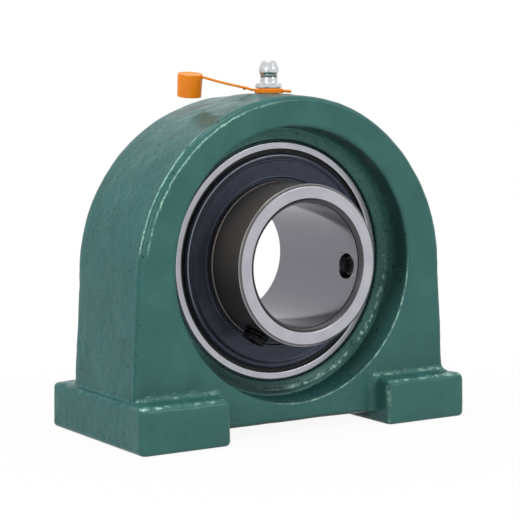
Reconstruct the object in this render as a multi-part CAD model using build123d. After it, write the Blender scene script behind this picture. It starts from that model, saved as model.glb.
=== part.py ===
from build123d import *
from math import cos, radians, sin, sqrt, tan
import os

# Pillow block bearing: a cast housing on two tapped feet holds an insert ball bearing in a
# spherical seat. X runs along the feet, Y from the front to the back, Z up. The origin is on
# the base plane, straight below the middle of the bearing. All sizes are in millimetres.

# --- Bearing insert ---
bore_diameter = 35.0
sphere_diameter = 72.0
outer_ring_width = 20.0
inner_ring_front = 25.4  # from the ball row to the set-screw face
inner_ring_back = 17.5  # from the ball row to the plain face
ball_diameter = 11.112
ball_count = 9
pitch_diameter = 53.5
first_ball_angle = 10.0
race_conformity = 1.04  # groove radius over ball radius
race_gap = 0.02
inner_ring_diameter = 46.2
outer_rim_thickness = 2.58  # of the outer ring's face, outside the seal
seal_shoulder = 1.75  # step from the seal's seat down to the ball race
seal_bore_depth = 2.8
ring_chamfer = 0.8
inner_edge_chamfer = 1.1
bore_chamfer = 1.1

# --- Running and seating clearances ---
seat_clearance = 0.05  # outer ring in the housing's seat
seal_lip_clearance = 0.08
fitted_gap = 0.02  # pieces fitted together in one body
cage_clearance = 0.25

# --- Seals and slingers ---
seal_thickness = 1.4
slinger_thickness = 0.8
slinger_diameter = 62.0
slinger_rim_depth = 0.9
slinger_rim_width = 1.6
slinger_dish = 0.5
slinger_collar = 1.5
slinger_proud = 0.5  # how far the slinger stands out of the outer ring's face

# --- Cage ---
cage_outside = 2.25  # from the balls' pitch circle out to the cage's outer face
cage_inside = 1.95  # from the pitch circle in to its inner face
cage_front = 3.4
cage_back = 7.0

# --- Set screws ---
screw_diameter = 8.0
screw_pitch = 1.0
screw_length = 7.0
screw_setback = 6.6  # from the inner ring's front face to the screws' axes
screw_recess = 0.9  # screw tip short of the bore at rest
screw_angles = (-5.0, 235.0)
screw_fit = 0.06
screw_key_width = 4.0
screw_key_depth = 3.0
screw_cup_diameter = 4.5
screw_cup_depth = 0.8
screw_edge = 0.6

# --- Housing ---
axis_height = 47.6
foot_span = 108.8
foot_depth = 54.8
foot_width = 28.2
foot_height = 13.0
relief_height = 3.0
body_depth = 39.6
flank_ledge = 2.4  # width of the foot's top beside each flank
arch_height = 94.6
flank_flare = 3.2  # degrees that each flank leans out towards the foot
casting_draft = 1.1  # degrees from the front edge to the back
front_edge_radius = 1.5
back_edge_radius = 3.0
foot_corner_radius = 2.0
foot_edge_radius = 1.1
root_radius = 1.1

# --- Recess, seat and loading slots ---
recess_diameter = 78.2
recess_floor_diameter = 75.0
recess_edge_radius = 0.5
recess_corner_radius = 2.0
seat_width = 22.0
back_recess_diameter = 77.0
slot_side_clearance = 0.4
slot_end_clearance = 0.15
boss_diameter = 19.0  # cast pad under the grease nipple, where it meets the arch
boss_flank = 3.0

# --- Base bolts ---
bolt_spacing = 80.0
bolt_tap_diameter = 12.0
bolt_hole_depth = 20.0

# --- Lubrication ---
grease_offset = 5.0  # grease line in front of the ball row
boss_rise = 0.5  # spot face above the top of the arch
nipple_thread_diameter = 6.35
nipple_tap_gap = 0.05
nipple_tap_depth = 8.5
grease_hole_diameter = 3.0
ring_groove_width = 2.6
ring_groove_depth = 0.8
ring_hole_diameter = 1.6
ring_hole_count = 3
ring_hole_offset = 6.1  # in front of the ball row, beside the race

# --- Grease nipple ---
nipple_hex_width = 7.0
nipple_hex_height = 1.4
nipple_hex_turn = 16.8  # from the +X direction to the middle of a flat
nipple_thread_length = 5.5
nipple_shank_diameter = 5.0
nipple_shank_height = 1.6
nipple_neck_diameter = 4.75
nipple_flare_height = 1.6  # from the neck to the widest part of the head
nipple_head_diameter = 5.7
nipple_band_height = 1.0  # the straight part of the head
nipple_head_height = 4.8
nipple_tip_diameter = 3.6
nipple_tip_edge = 0.4
nipple_bore_diameter = 2.4
nipple_mouth_diameter = 1.4
check_ball_diameter = 2.1
check_ball_drop = 0.9  # below the tip at rest
spring_wire_diameter = 0.25
spring_turns = 5
spring_length = 5.0
nipple_shoulder_diameter = 1.3

# --- Dust cap ---
cap_ring_diameter = 8.2
cap_ring_hole_diameter = 6.9
cap_ring_height = 1.4
cap_gap = 0.1
pull_tab_length = 2.4
pull_tab_width = 2.4
pull_tab_thickness = 0.8
strap_width = 2.2
strap_thickness = 0.7
strap_direction = 145.0  # seen from above, from the +X direction towards +Y
strap_reach = 22.4  # from the nipple's axis to the cap's axis
strap_offset = 0.35  # of the strap's pivot above the middle of the ring
strap_rise = 3.7
strap_sag = 0.3
hinge_clearance = 0.3  # between the ring and the strap's rounded end
cap_diameter = 7.2
cap_mouth_diameter = 7.0
cap_wall = 0.45
cap_height = 6.6
cap_top_thickness = 1.0
cap_lean = 4.0  # of its top, towards the nipple
cap_roll = 6.0  # of its top, towards the front, as the strap twists
cap_edge = 0.35

# --- Worked out from the sizes above ---
centre = Vector(0, 0, axis_height)
seat_radius = sphere_diameter / 2
ring_radius = seat_radius - seat_clearance
ring_face_radius = sqrt(ring_radius**2 - (outer_ring_width / 2) ** 2)
seal_bore_radius = ring_face_radius - outer_rim_thickness
outer_land_radius = seal_bore_radius - seal_shoulder
ball_radius = ball_diameter / 2
pitch_radius = pitch_diameter / 2
groove_radius = ball_radius * race_conformity
inner_groove_centre = pitch_radius - ball_radius - race_gap + groove_radius
outer_groove_centre = pitch_radius + ball_radius + race_gap - groove_radius
body_front = -body_depth / 2
body_back = body_depth / 2
flare_angle = radians(flank_flare)
flank_at_foot = foot_span / 2 - flank_ledge
flare_spread = (arch_height - foot_height) * tan(flare_angle)
arch_radius = (flank_at_foot - flare_spread) / (cos(flare_angle) + tan(flare_angle) * (sin(flare_angle) - 1))
arch_centre_height = arch_height - arch_radius
seat_face_offset = seat_width / 2
spot_face_height = arch_height + boss_rise
nipple_seat_height = spot_face_height
cap_ring_top = nipple_seat_height + cap_gap + cap_ring_height
strap_pivot_height = cap_ring_top - cap_ring_height / 2 + strap_offset
nipple_hex_bottom = cap_ring_top + cap_gap
nipple_hex_top = nipple_hex_bottom + nipple_hex_height
nipple_head_bottom = nipple_hex_top + nipple_shank_height
nipple_tip = nipple_head_bottom + nipple_head_height
strap_angle = radians(strap_direction)
strap_way = Vector(cos(strap_angle), sin(strap_angle), 0)
nipple_axis = Vector(0, -grease_offset, 0)


def turned(outline, race_centre=None):
    """Revolve an outline given as (distance along the bearing axis, radius) pairs.

    A race centre, as a radius, cuts the ball race into the outline first."""
    profile = make_face(Polyline(*[(radius, along) for along, radius in outline], close=True))
    if race_centre is not None:
        profile -= Pos(race_centre, 0) * Circle(groove_radius)
    return Pos(*centre) * Rot(X=-90) * revolve(profile_on_xz(profile), Axis.Z)


def profile_on_xz(face):
    """Stand a face drawn on the XY plane upright, its second direction along Z."""
    return Rot(X=90) * face


def rod_on_axis(radius, front, back):
    """A cylinder on the bearing axis from one Y position to another."""
    middle = (front + back) / 2
    return Pos(centre.X, middle, centre.Z) * Rot(X=90) * Cylinder(radius, back - front)


def radial_place(angle, radius, along):
    """A place round the bearing axis whose Z axis points outwards at the angle."""
    return Pos(*centre) * Rot(Y=90 - angle) * Pos(0, along, radius)


def body_outline():
    """Arch over two flared flanks, drawn from below the base so that the base cut squares it."""
    tangent_x = arch_radius * cos(flare_angle)
    tangent_z = arch_centre_height + arch_radius * sin(flare_angle)
    below = -foot_height
    spread = tangent_x + (tangent_z - below) * tan(flare_angle)
    arch = ThreePointArc((tangent_x, tangent_z), (0, arch_height), (-tangent_x, tangent_z))
    left = Line((-tangent_x, tangent_z), (-spread, below))
    floor = Line((-spread, below), (spread, below))
    right = Line((spread, below), (tangent_x, tangent_z))
    return make_face([arch, left, floor, right])


def arch_body():
    """The drafted body with its rounded front and back edges, cut level with the relief."""
    plane = Plane(origin=(0, body_front, 0), x_dir=(1, 0, 0), z_dir=(0, -1, 0))
    body = extrude(plane * body_outline(), amount=-body_depth, taper=casting_draft)
    low = Pos(0, 0, relief_height - foot_span) * Box(2 * foot_span, foot_span, 2 * foot_span)
    body -= low
    front = body.faces().sort_by(Axis.Y)[0]
    floor_height = relief_height + foot_edge_radius
    front_edges = [edge for edge in front.edges() if edge.center().Z > floor_height]
    body = fillet(front_edges, front_edge_radius)
    back = body.faces().sort_by(Axis.Y)[-1]
    back_edges = [edge for edge in back.edges() if edge.center().Z > floor_height]
    return fillet(back_edges, back_edge_radius)


def foot(side):
    """One foot block; side is -1 on the left and 1 on the right."""
    middle = side * (foot_span - foot_width) / 2
    block = Pos(middle, 0, foot_height / 2) * Box(foot_width, foot_depth, foot_height)
    block = fillet(block.edges().filter_by(Axis.Z), foot_corner_radius)
    return fillet(block.edges().group_by(Axis.Z)[-1], foot_edge_radius)


def recess_cut(face_y, direction, mouth_diameter):
    """Dished recess from a face down to the seat; direction points out of the housing."""
    floor_y = direction * seat_face_offset
    mouth = mouth_diameter / 2
    floor = recess_floor_diameter / 2
    beyond = face_y + direction * front_edge_radius
    outline = [(beyond, 0), (beyond, mouth), (face_y, mouth), (floor_y, floor), (floor_y, 0)]
    cut = turned(outline)
    inner_edge = [
        edge
        for edge in cut.edges().filter_by(GeomType.CIRCLE)
        if abs(edge.center().Y - floor_y) < recess_edge_radius and edge.radius > floor - recess_edge_radius
    ]
    return fillet(inner_edge, recess_corner_radius)


def loading_slots():
    """Two opposed slots at the back through which the insert goes in edgeways."""
    height = outer_ring_width + 2 * slot_side_clearance
    way_in = rod_on_axis(seat_radius + slot_end_clearance, 0, body_back + 1)
    return way_in & (Pos(*centre) * Box(sphere_diameter + 1, 2 * body_depth, height))


def bolt_hole(side):
    """Tapped blind hole up from the base with a conical bottom."""
    radius = bolt_tap_diameter / 2
    outline = [
        (0, 0),
        (radius, 0),
        (radius, bolt_hole_depth),
        (0, bolt_hole_depth + radius / 2),
    ]
    hole = revolve(profile_on_xz(make_face(Polyline(*outline, close=True))), Axis.Z)
    return Pos(side * bolt_spacing / 2, 0, 0) * hole


def grease_boss():
    """Low cast pad on the arch, faced flat where the nipple screws in."""
    foot_of_boss = boss_diameter / 2
    return Pos(0, -grease_offset, spot_face_height) * Cone(
        foot_of_boss, foot_of_boss - boss_flank, boss_flank, align=(Align.CENTER, Align.CENTER, Align.MAX)
    )


def grease_way():
    """Tapped hole and drilled hole from the top of the boss to the seat."""
    tap_radius = nipple_thread_diameter / 2 + nipple_tap_gap
    tap = Pos(0, 0, spot_face_height) * Cylinder(
        tap_radius, nipple_tap_depth, align=(Align.CENTER, Align.CENTER, Align.MAX)
    )
    drill_length = spot_face_height - axis_height
    drill = Pos(0, 0, spot_face_height) * Cylinder(
        grease_hole_diameter / 2, drill_length, align=(Align.CENTER, Align.CENTER, Align.MAX)
    )
    return Pos(*nipple_axis) * (tap + drill)


def make_housing():
    housing = arch_body() + foot(-1) + foot(1)
    roots = [
        edge
        for edge in housing.edges()
        if abs(edge.center().Z - foot_height) < fitted_gap
        and edge.bounding_box().size.Z < fitted_gap
        and abs(edge.center().Y) < body_back + foot_corner_radius
        and edge.bounding_box().max.Y < foot_depth / 2 - 2 * foot_edge_radius
        and edge.bounding_box().min.Y > 2 * foot_edge_radius - foot_depth / 2
    ]
    housing = fillet(roots, root_radius) + grease_boss()
    housing -= recess_cut(body_front, -1, recess_diameter)
    housing -= recess_cut(body_back, 1, back_recess_diameter)
    housing -= Pos(*centre) * Sphere(seat_radius)
    housing -= loading_slots()
    for side in (-1, 1):
        housing -= bolt_hole(side)
    housing -= grease_way()
    return housing


def make_outer_ring():
    half = outer_ring_width / 2
    seal_floor = half - seal_bore_depth
    outline = [
        (-half, seal_bore_radius),
        (-half, ring_radius),
        (half, ring_radius),
        (half, seal_bore_radius),
        (seal_floor, seal_bore_radius),
        (seal_floor, outer_land_radius),
        (-seal_floor, outer_land_radius),
        (-seal_floor, seal_bore_radius),
    ]
    ring = turned(outline, outer_groove_centre) & (Pos(*centre) * Sphere(ring_radius))
    rims = [
        edge
        for edge in ring.edges().filter_by(GeomType.CIRCLE)
        if edge.radius > seal_bore_radius + ring_chamfer
    ]
    ring = chamfer(rims, ring_chamfer)
    groove_floor = ring_radius - ring_groove_depth
    groove_front = -grease_offset - ring_groove_width / 2
    groove_back = -grease_offset + ring_groove_width / 2
    groove = rod_on_axis(ring_radius, groove_front, groove_back)
    groove -= rod_on_axis(groove_floor, groove_front, groove_back)
    ring -= groove
    for number in range(ring_hole_count):
        angle = 90 + 360 * number / ring_hole_count
        place = radial_place(angle, outer_groove_centre, -ring_hole_offset)
        ring -= place * Cylinder(
            ring_hole_diameter / 2, ring_radius, align=(Align.CENTER, Align.CENTER, Align.MIN)
        )
    return ring


def make_inner_ring():
    bore = bore_diameter / 2
    outside = inner_ring_diameter / 2
    outline = [
        (-inner_ring_front, bore + bore_chamfer),
        (-inner_ring_front, outside - inner_edge_chamfer),
        (inner_edge_chamfer - inner_ring_front, outside),
        (inner_ring_back - inner_edge_chamfer, outside),
        (inner_ring_back, outside - inner_edge_chamfer),
        (inner_ring_back, bore + bore_chamfer),
        (inner_ring_back - bore_chamfer, bore),
        (bore_chamfer - inner_ring_front, bore),
    ]
    ring = turned(outline, inner_groove_centre)
    for angle in screw_angles:
        place = radial_place(angle, 0, screw_setback - inner_ring_front)
        ring -= place * Cylinder(
            screw_hole_radius(), outside + 1, align=(Align.CENTER, Align.CENTER, Align.MIN)
        )
    return ring


def screw_hole_radius():
    """Radius of the set-screw holes at the thread's pitch line."""
    return (screw_diameter - screw_pitch / 2) / 2


def make_set_screw(angle):
    """Cup-point socket screw; its axis points out of the inner ring."""
    radius = screw_hole_radius() - screw_fit
    tip = bore_diameter / 2 + screw_recess
    cup = screw_cup_diameter / 2
    outline = [
        (0, screw_cup_depth),
        (cup, 0),
        (radius - screw_edge, 0),
        (radius, screw_edge),
        (radius, screw_length - screw_edge),
        (radius - screw_edge, screw_length),
        (0, screw_length),
    ]
    screw = revolve(profile_on_xz(make_face(Polyline(*outline, close=True))), Axis.Z)
    key = extrude(
        RegularPolygon(screw_key_width / 2, 6, major_radius=False), amount=screw_key_depth
    )
    screw -= Pos(0, 0, screw_length - screw_key_depth) * key
    return radial_place(angle, tip, screw_setback - inner_ring_front) * screw


def make_ball(number):
    angle = radians(first_ball_angle + 360 * number / ball_count)
    place = Pos(pitch_radius * cos(angle), 0, axis_height + pitch_radius * sin(angle))
    return place * Sphere(ball_radius)


def make_cage():
    """Snap cage: a closed rim at the back with a round pocket for each ball, open in front."""
    outer_radius = pitch_radius + cage_outside
    inner_radius = pitch_radius - cage_inside
    outline = [
        (-cage_front, inner_radius),
        (-cage_front, outer_radius),
        (cage_back, outer_radius),
        (cage_back, inner_radius),
    ]
    cage = turned(outline)
    pocket = ball_radius + cage_clearance
    for number in range(ball_count):
        angle = first_ball_angle + 360 * number / ball_count
        cage -= radial_place(angle, pitch_radius, 0) * Sphere(pocket)
        window = radial_place(angle, pitch_radius, -cage_front)
        cage -= window * Cylinder(pocket / 2, ball_diameter)
    return cage


def make_seal(direction):
    """Bonded seal disc seated in the outer ring, its lip on the inner ring."""
    seal_floor = outer_ring_width / 2 - seal_bore_depth
    inner = direction * (seal_floor + fitted_gap)
    outer = direction * (seal_floor + fitted_gap + seal_thickness)
    middle = direction * (seal_floor + fitted_gap + seal_thickness / 2)
    lip = inner_ring_diameter / 2 + seal_lip_clearance
    rim = seal_bore_radius - fitted_gap
    outline = [
        (inner, rim),
        (outer, rim),
        (outer, lip + seal_thickness),
        (middle, lip),
        (inner, lip),
    ]
    return turned(outline)


def make_slinger(direction):
    """Pressed steel disc on the inner ring with a turned-in rim and a short collar."""
    face = outer_ring_width / 2 + slinger_proud
    thickness = slinger_thickness
    rim = slinger_diameter / 2
    hub = inner_ring_diameter / 2 + fitted_gap
    shoulder = rim - slinger_rim_width
    dish = face - slinger_dish
    outline = [
        (dish - thickness, hub),
        (dish - thickness, shoulder),
        (face - slinger_rim_depth - thickness / 2, rim - thickness),
        (face - slinger_rim_depth, rim),
        (face, shoulder + thickness),
        (face, shoulder),
        (dish, shoulder - thickness),
        (dish, hub + thickness),
        (face + slinger_collar / 2, hub + thickness),
        (face + slinger_collar / 2, hub),
    ]
    return turned([(direction * along, radius) for along, radius in outline])


def make_grease_nipple():
    """Straight nipple: thread, hexagon, shank, neck and ball-shaped head, bored through."""
    thread = nipple_thread_diameter / 2
    shank = nipple_shank_diameter / 2
    neck = nipple_neck_diameter / 2
    head = nipple_head_diameter / 2
    tip = nipple_tip_diameter / 2
    thread_bottom = nipple_hex_bottom - nipple_thread_length - cap_ring_height
    band_bottom = nipple_head_bottom + nipple_flare_height
    outline = [
        (0, thread_bottom),
        (thread - screw_edge, thread_bottom),
        (thread, thread_bottom + screw_edge),
        (thread, nipple_hex_bottom + nipple_hex_height / 2),
        (shank, nipple_hex_bottom + nipple_hex_height / 2),
        (shank, nipple_hex_top),
        (neck, nipple_head_bottom),
        (head, band_bottom),
        (head, band_bottom + nipple_band_height),
        (tip + nipple_tip_edge, nipple_tip - nipple_tip_edge),
        (tip, nipple_tip),
        (0, nipple_tip),
    ]
    stem = revolve(profile_on_xz(make_face(Polyline(*outline, close=True))), Axis.Z)
    hexagon = extrude(
        RegularPolygon(nipple_hex_width / 2, 6, major_radius=False, rotation=nipple_hex_turn),
        amount=nipple_hex_height,
    )
    nipple = stem + Pos(0, 0, nipple_hex_bottom) * hexagon
    bore = nipple_bore_diameter / 2
    mouth = nipple_mouth_diameter / 2
    shoulder = nipple_shoulder_diameter / 2
    ball_height = check_ball_height()
    spring_foot = spring_foot_height()
    channel_outline = [
        (0, thread_bottom - 1),
        (shoulder, thread_bottom - 1),
        (shoulder, spring_foot),
        (bore, spring_foot),
        (bore, ball_height + check_ball_diameter / 4),
        (mouth, nipple_tip - nipple_mouth_diameter / 4),
        (mouth, nipple_tip + 1),
        (0, nipple_tip + 1),
    ]
    channel = revolve(profile_on_xz(make_face(Polyline(*channel_outline, close=True))), Axis.Z)
    return Pos(*nipple_axis) * (nipple - channel)


def check_ball_height():
    """Height of the check ball's middle at rest."""
    return nipple_tip - check_ball_drop - check_ball_diameter / 2


def spring_foot_height():
    """Height of the step that the spring stands on."""
    return check_ball_height() - check_ball_diameter / 2 - spring_length


def make_nipple_ball():
    return Pos(*nipple_axis) * Pos(0, 0, check_ball_height()) * Sphere(check_ball_diameter / 2)


def make_nipple_spring():
    """Coil spring between the step in the nipple and its check ball."""
    wire = spring_wire_diameter / 2
    coil_radius = nipple_bore_diameter / 2 - spring_wire_diameter
    height = spring_length - 2 * spring_wire_diameter
    coil = Helix(pitch=height / spring_turns, height=height, radius=coil_radius)
    section = Plane(origin=coil @ 0, z_dir=coil % 0) * Circle(wire)
    spring = sweep(section, path=coil)
    return Pos(*nipple_axis) * Pos(0, 0, spring_foot_height() + spring_wire_diameter) * spring


def make_cap_ring():
    """Retaining ring under the hexagon with a pull tab on the side away from the strap."""
    height = nipple_seat_height + cap_gap
    outer = cap_ring_diameter / 2
    ring = Cylinder(outer, cap_ring_height, align=(Align.CENTER, Align.CENTER, Align.MIN))
    tab_length = outer + pull_tab_length
    tab = Box(
        tab_length,
        pull_tab_width,
        pull_tab_thickness,
        align=(Align.MAX, Align.CENTER, Align.MIN),
    )
    ring += Pos(0, 0, (cap_ring_height - pull_tab_thickness) / 2) * tab
    ring -= Cylinder(cap_ring_hole_diameter / 2, 4 * cap_ring_height)
    return Pos(*nipple_axis) * Pos(0, 0, height) * Rot(Z=strap_direction) * ring


def strap_pivot_reach():
    """Distance from the nipple's axis to the pivot line of the strap."""
    return cap_ring_diameter / 2 + hinge_clearance + strap_thickness / 2


def strap_path():
    """Middle line of the strap in the upright plane of its direction, ring end to cap end."""
    start = strap_pivot_reach()
    end = strap_reach - cap_diameter / 2 + cap_wall / 2
    low = strap_pivot_height
    middle_height = low + strap_rise / 2 - strap_sag
    return ThreePointArc((start, low), ((start + end) / 2, middle_height), (end, low + strap_rise))


def on_strap_plane():
    """The upright plane through the nipple's axis that holds the strap's middle line."""
    return Plane(origin=nipple_axis, x_dir=strap_way, z_dir=strap_way.cross(Vector(0, 0, 1)))


def make_cap_strap():
    line = on_strap_plane() * strap_path()
    section = Plane(origin=line @ 0, x_dir=Vector(0, 0, 1), z_dir=line % 0)
    strap = sweep(section * Rectangle(strap_thickness, strap_width), path=line)
    knuckle = Pos(*(line @ 0)) * Rot(Z=strap_direction) * Rot(X=90)
    strap += knuckle * Cylinder(strap_thickness / 2, strap_width)
    return strap - cap_place() * Cylinder(cap_diameter / 2, 3 * cap_height)


def cap_place():
    """Place of the middle of the dust cap's closed top."""
    cap_top = strap_pivot_height + strap_rise + cap_top_thickness
    place = nipple_axis + strap_way * strap_reach + Vector(0, 0, cap_top)
    return Pos(*place) * Rot(Z=strap_direction) * Rot(X=-cap_roll) * Rot(Y=-cap_lean)


def make_dust_cap():
    """Cup with a closed top that fits over the nipple's head, leaning on its strap."""
    outer = cap_diameter / 2
    mouth = cap_mouth_diameter / 2
    outline = [
        (0, 0),
        (outer - cap_edge, 0),
        (outer, -cap_edge),
        (outer, -cap_top_thickness - strap_thickness),
        (mouth, -cap_height),
        (mouth - cap_wall, -cap_height),
        (outer - cap_wall, -cap_top_thickness),
        (0, -cap_top_thickness),
    ]
    cup = revolve(profile_on_xz(make_face(Polyline(*outline, close=True))), Axis.Z)
    return cap_place() * cup


def all_pieces():
    pieces = {
        "housing": make_housing(),
        "outer_ring": make_outer_ring(),
        "inner_ring": make_inner_ring(),
        "cage": make_cage(),
        "seal_front": make_seal(-1),
        "seal_back": make_seal(1),
        "slinger_front": make_slinger(-1),
        "slinger_back": make_slinger(1),
        "grease_nipple": make_grease_nipple(),
        "nipple_ball": make_nipple_ball(),
        "nipple_spring": make_nipple_spring(),
        "cap_ring": make_cap_ring(),
        "cap_strap": make_cap_strap(),
        "dust_cap": make_dust_cap(),
    }
    for number in range(ball_count):
        pieces[f"ball_{number + 1}"] = make_ball(number)
    for number, angle in enumerate(screw_angles):
        pieces[f"set_screw_{number + 1}"] = make_set_screw(angle)
    return pieces


os.makedirs("parts", exist_ok=True)
for name, piece in all_pieces().items():
    export_step(piece, f"parts/{name}.step")
    print(name, round(piece.volume, 1))
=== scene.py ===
from math import atan2, cos, pi, radians, sin, sqrt, tan

import bpy
import numpy as np
from mathutils import Matrix, Vector


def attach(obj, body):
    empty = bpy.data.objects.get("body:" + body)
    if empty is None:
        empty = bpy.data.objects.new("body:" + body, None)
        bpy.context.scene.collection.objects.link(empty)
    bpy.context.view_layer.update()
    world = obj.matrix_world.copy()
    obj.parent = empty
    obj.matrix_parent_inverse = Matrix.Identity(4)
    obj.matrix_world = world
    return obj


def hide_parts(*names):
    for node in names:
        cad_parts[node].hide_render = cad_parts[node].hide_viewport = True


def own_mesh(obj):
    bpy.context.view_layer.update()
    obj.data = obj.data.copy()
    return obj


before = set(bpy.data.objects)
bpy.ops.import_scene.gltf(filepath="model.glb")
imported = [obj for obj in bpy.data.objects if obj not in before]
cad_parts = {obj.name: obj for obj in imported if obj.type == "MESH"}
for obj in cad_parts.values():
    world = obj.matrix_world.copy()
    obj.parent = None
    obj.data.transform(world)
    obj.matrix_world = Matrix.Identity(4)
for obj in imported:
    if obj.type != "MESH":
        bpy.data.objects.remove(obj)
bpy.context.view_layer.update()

axisHeight = 47.6  # bearing axis above the base, mm; all shapes are worked out in mm
scene = bpy.context.scene


def addNode(tree, kind, **settings):
    node = tree.nodes.new(kind)
    for key, value in settings.items():
        setattr(node, key, value)
    return node


def setValues(node, **values):
    for name, value in values.items():
        node.inputs[name.replace("_", " ")].default_value = value


# ---- meshes ----

# Shapes are worked out in mm, and a mesh holds metres.
def setPoints(mesh, points):
    mesh.vertices.foreach_set("co", (points * 0.001).astype(np.float32).ravel())


def meshPoints(piece):
    points = np.zeros(len(piece.data.vertices) * 3, np.float32)
    piece.data.vertices.foreach_get("co", points)
    return points.reshape(-1, 3).astype(float) * 1000


# Puts points and faces into a mesh. The signed volume is the sum of a . (b x c) over all
# triangles, and where it is negative every face is turned round, so that faces point outwards.
def putMesh(name, points, quads, triangles):
    fans = np.concatenate([quads[:, [0, 1, 2]], quads[:, [0, 2, 3]], triangles])
    a, b, c = points[fans[:, 0]], points[fans[:, 1]], points[fans[:, 2]]
    if np.einsum("ij,ij->", a, np.cross(b, c)) < 0:
        quads, triangles = quads[:, ::-1], triangles[:, ::-1]
    mesh = bpy.data.meshes.new(name)
    mesh.vertices.add(len(points))
    setPoints(mesh, points)
    mesh.loops.add(quads.size + triangles.size)
    corners = np.concatenate([quads.ravel(), triangles.ravel()]).astype(np.int32)
    mesh.loops.foreach_set("vertex_index", corners)
    mesh.polygons.add(len(quads) + len(triangles))
    quadStarts = np.arange(len(quads)) * 4
    triangleStarts = quads.size + np.arange(len(triangles)) * 3
    starts = np.concatenate([quadStarts, triangleStarts]).astype(np.int32)
    mesh.polygons.foreach_set("loop_start", starts)
    mesh.update(calc_edges=True)
    mesh.validate()
    mesh.shade_smooth()
    piece = bpy.data.objects.new(name, mesh)
    scene.collection.objects.link(piece)
    return piece


# A surface on a grid of points, rows by columns by xyz. The columns close on themselves. The
# rows close too for a ring, or end in a fan of triangles round a pole at either end.
def gridPiece(name, grid, poles=None):
    rows, columns = grid.shape[:2]
    index = np.arange(rows * columns).reshape(rows, columns)
    low = index if poles is None else index[:-1]
    high = np.roll(index, -1, 0) if poles is None else index[1:]
    quads = np.stack([low, np.roll(low, -1, 1), np.roll(high, -1, 1), high], -1).reshape(-1, 4)
    points = grid.reshape(-1, 3)
    triangles = np.zeros((0, 3), int)
    if poles is not None:
        first, last = rows * columns, rows * columns + 1
        points = np.vstack([points, poles])
        start = np.stack([np.full(columns, first), np.roll(index[0], -1), index[0]], -1)
        end = np.stack([index[-1], np.roll(index[-1], -1), np.full(columns, last)], -1)
        triangles = np.vstack([start, end])
    return putMesh(name, points, quads, triangles)


def circle(columns):
    return np.linspace(0, 2 * pi, columns, endpoint=False)


def quarter(count):
    return np.linspace(0, pi / 2, count)


# Points round an upright axis: (radius * cos angle, radius * sin angle, height).
def polar(radius, angle, height):
    x, y = radius * np.cos(angle), radius * np.sin(angle)
    return np.stack(np.broadcast_arrays(x, y, height), -1)


# Rounds an outline's corners. A corner C with a cut is replaced by the curve
# (1-t)^2 A + 2t(1-t) C + t^2 B between points A and B that far along its two sides, and each
# straight gets a point near its ends, which keeps its shading flat.
def rounded(corners, closed=True, steps=5, near=0.2):
    places = np.array([corner[:2] for corner in corners], float)
    count = len(places)
    line = []
    for k, corner in enumerate(corners):
        here = places[k]
        if corner[2] == 0 or (not closed and k in (0, count - 1)):
            line.append(here)
            continue
        before = places[k - 1] - here
        after = places[(k + 1) % count] - here
        before /= np.linalg.norm(before)
        after /= np.linalg.norm(after)
        t = np.linspace(0, 1, steps + 1)[:, None]
        start, end = here + before * corner[2], here + after * corner[2]
        line.append(start + before * near)
        line.extend((1 - t) ** 2 * start + 2 * t * (1 - t) * here + t**2 * end)
        line.append(end + after * near)
    return np.array(line)


# Turns a profile of (along, radius) pairs about the bearing axis.
def turnedOnAxis(profile, columns):
    angle = circle(columns)
    along, radius = profile[:, :1], profile[:, 1:]
    x = radius * np.cos(angle)
    z = axisHeight + radius * np.sin(angle)
    return np.stack([x, along + 0 * x, z], -1)


# Turns a profile of (height, radius) pairs about the upright axis of a local frame.
def turnedUpright(profile, columns):
    return polar(profile[:, 1:], circle(columns), profile[:, :1])


# Moves local points into the part's frame: origin + x * xWay + y * yWay + z * zWay.
def placed(points, origin, xWay, zWay):
    xWay, zWay = np.array(xWay, float), np.array(zWay, float)
    zWay /= np.linalg.norm(zWay)
    xWay -= zWay * (xWay @ zWay)
    xWay /= np.linalg.norm(xWay)
    return origin + points @ np.stack([xWay, np.cross(zWay, xWay), zWay])


# Smooth random height from -1 to 1: hashed values at the corners of a lattice cell, blended
# by the weights 3f^2 - 2f^3 of the place f inside the cell.
def randomSkin(points, cell, seed):
    place = points / cell + seed * 7.3
    base = np.floor(place)
    f = place - base
    f = f * f * (3 - 2 * f)
    total = np.zeros(points.shape[:-1])
    for corner in np.ndindex(2, 2, 2):
        value = np.sin((base + corner) @ np.array([12.9898, 78.233, 37.719]) + seed) * 43758.5453
        weight = np.prod(np.where(corner, f, 1 - f), axis=-1)
        total += weight * (value - np.floor(value))
    return 2 * total - 1


# Outward directions of a closed grid, from the cross product of its two differences.
def gridDirections(grid):
    alongRows = np.roll(grid, -1, 0) - np.roll(grid, 1, 0)
    alongColumns = np.roll(grid, -1, 1) - np.roll(grid, 1, 1)
    ways = np.cross(alongColumns, alongRows)
    return ways / np.maximum(np.linalg.norm(ways, axis=-1, keepdims=True), 1e-9)


def smoothStep(value, low, high):
    t = np.clip((value - low) / (high - low), 0, 1)
    return t * t * (3 - 2 * t)


# A bell curve: 1 at the middle and 1/e at one width from it.
def bell(distance, width):
    return np.exp(-((distance / width) ** 2))


# A thread's ridge, from 0 to 1: a triangle wave of (height / pitch - turn), so that the
# thread climbs one pitch in each turn.
def threadRidge(height, angle, pitch):
    phase = height / pitch - angle / (2 * pi)
    return 1 - np.abs(2 * (phase - np.floor(phase)) - 1)


# Distance from the middle of a hexagon to its outline: half its width over the flats, over
# the cosine of the angle from the nearest flat.
def hexagonReach(angle, flats):
    sector = pi / 3
    return flats / 2 / np.cos((angle + sector / 2) % sector - sector / 2)


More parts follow.
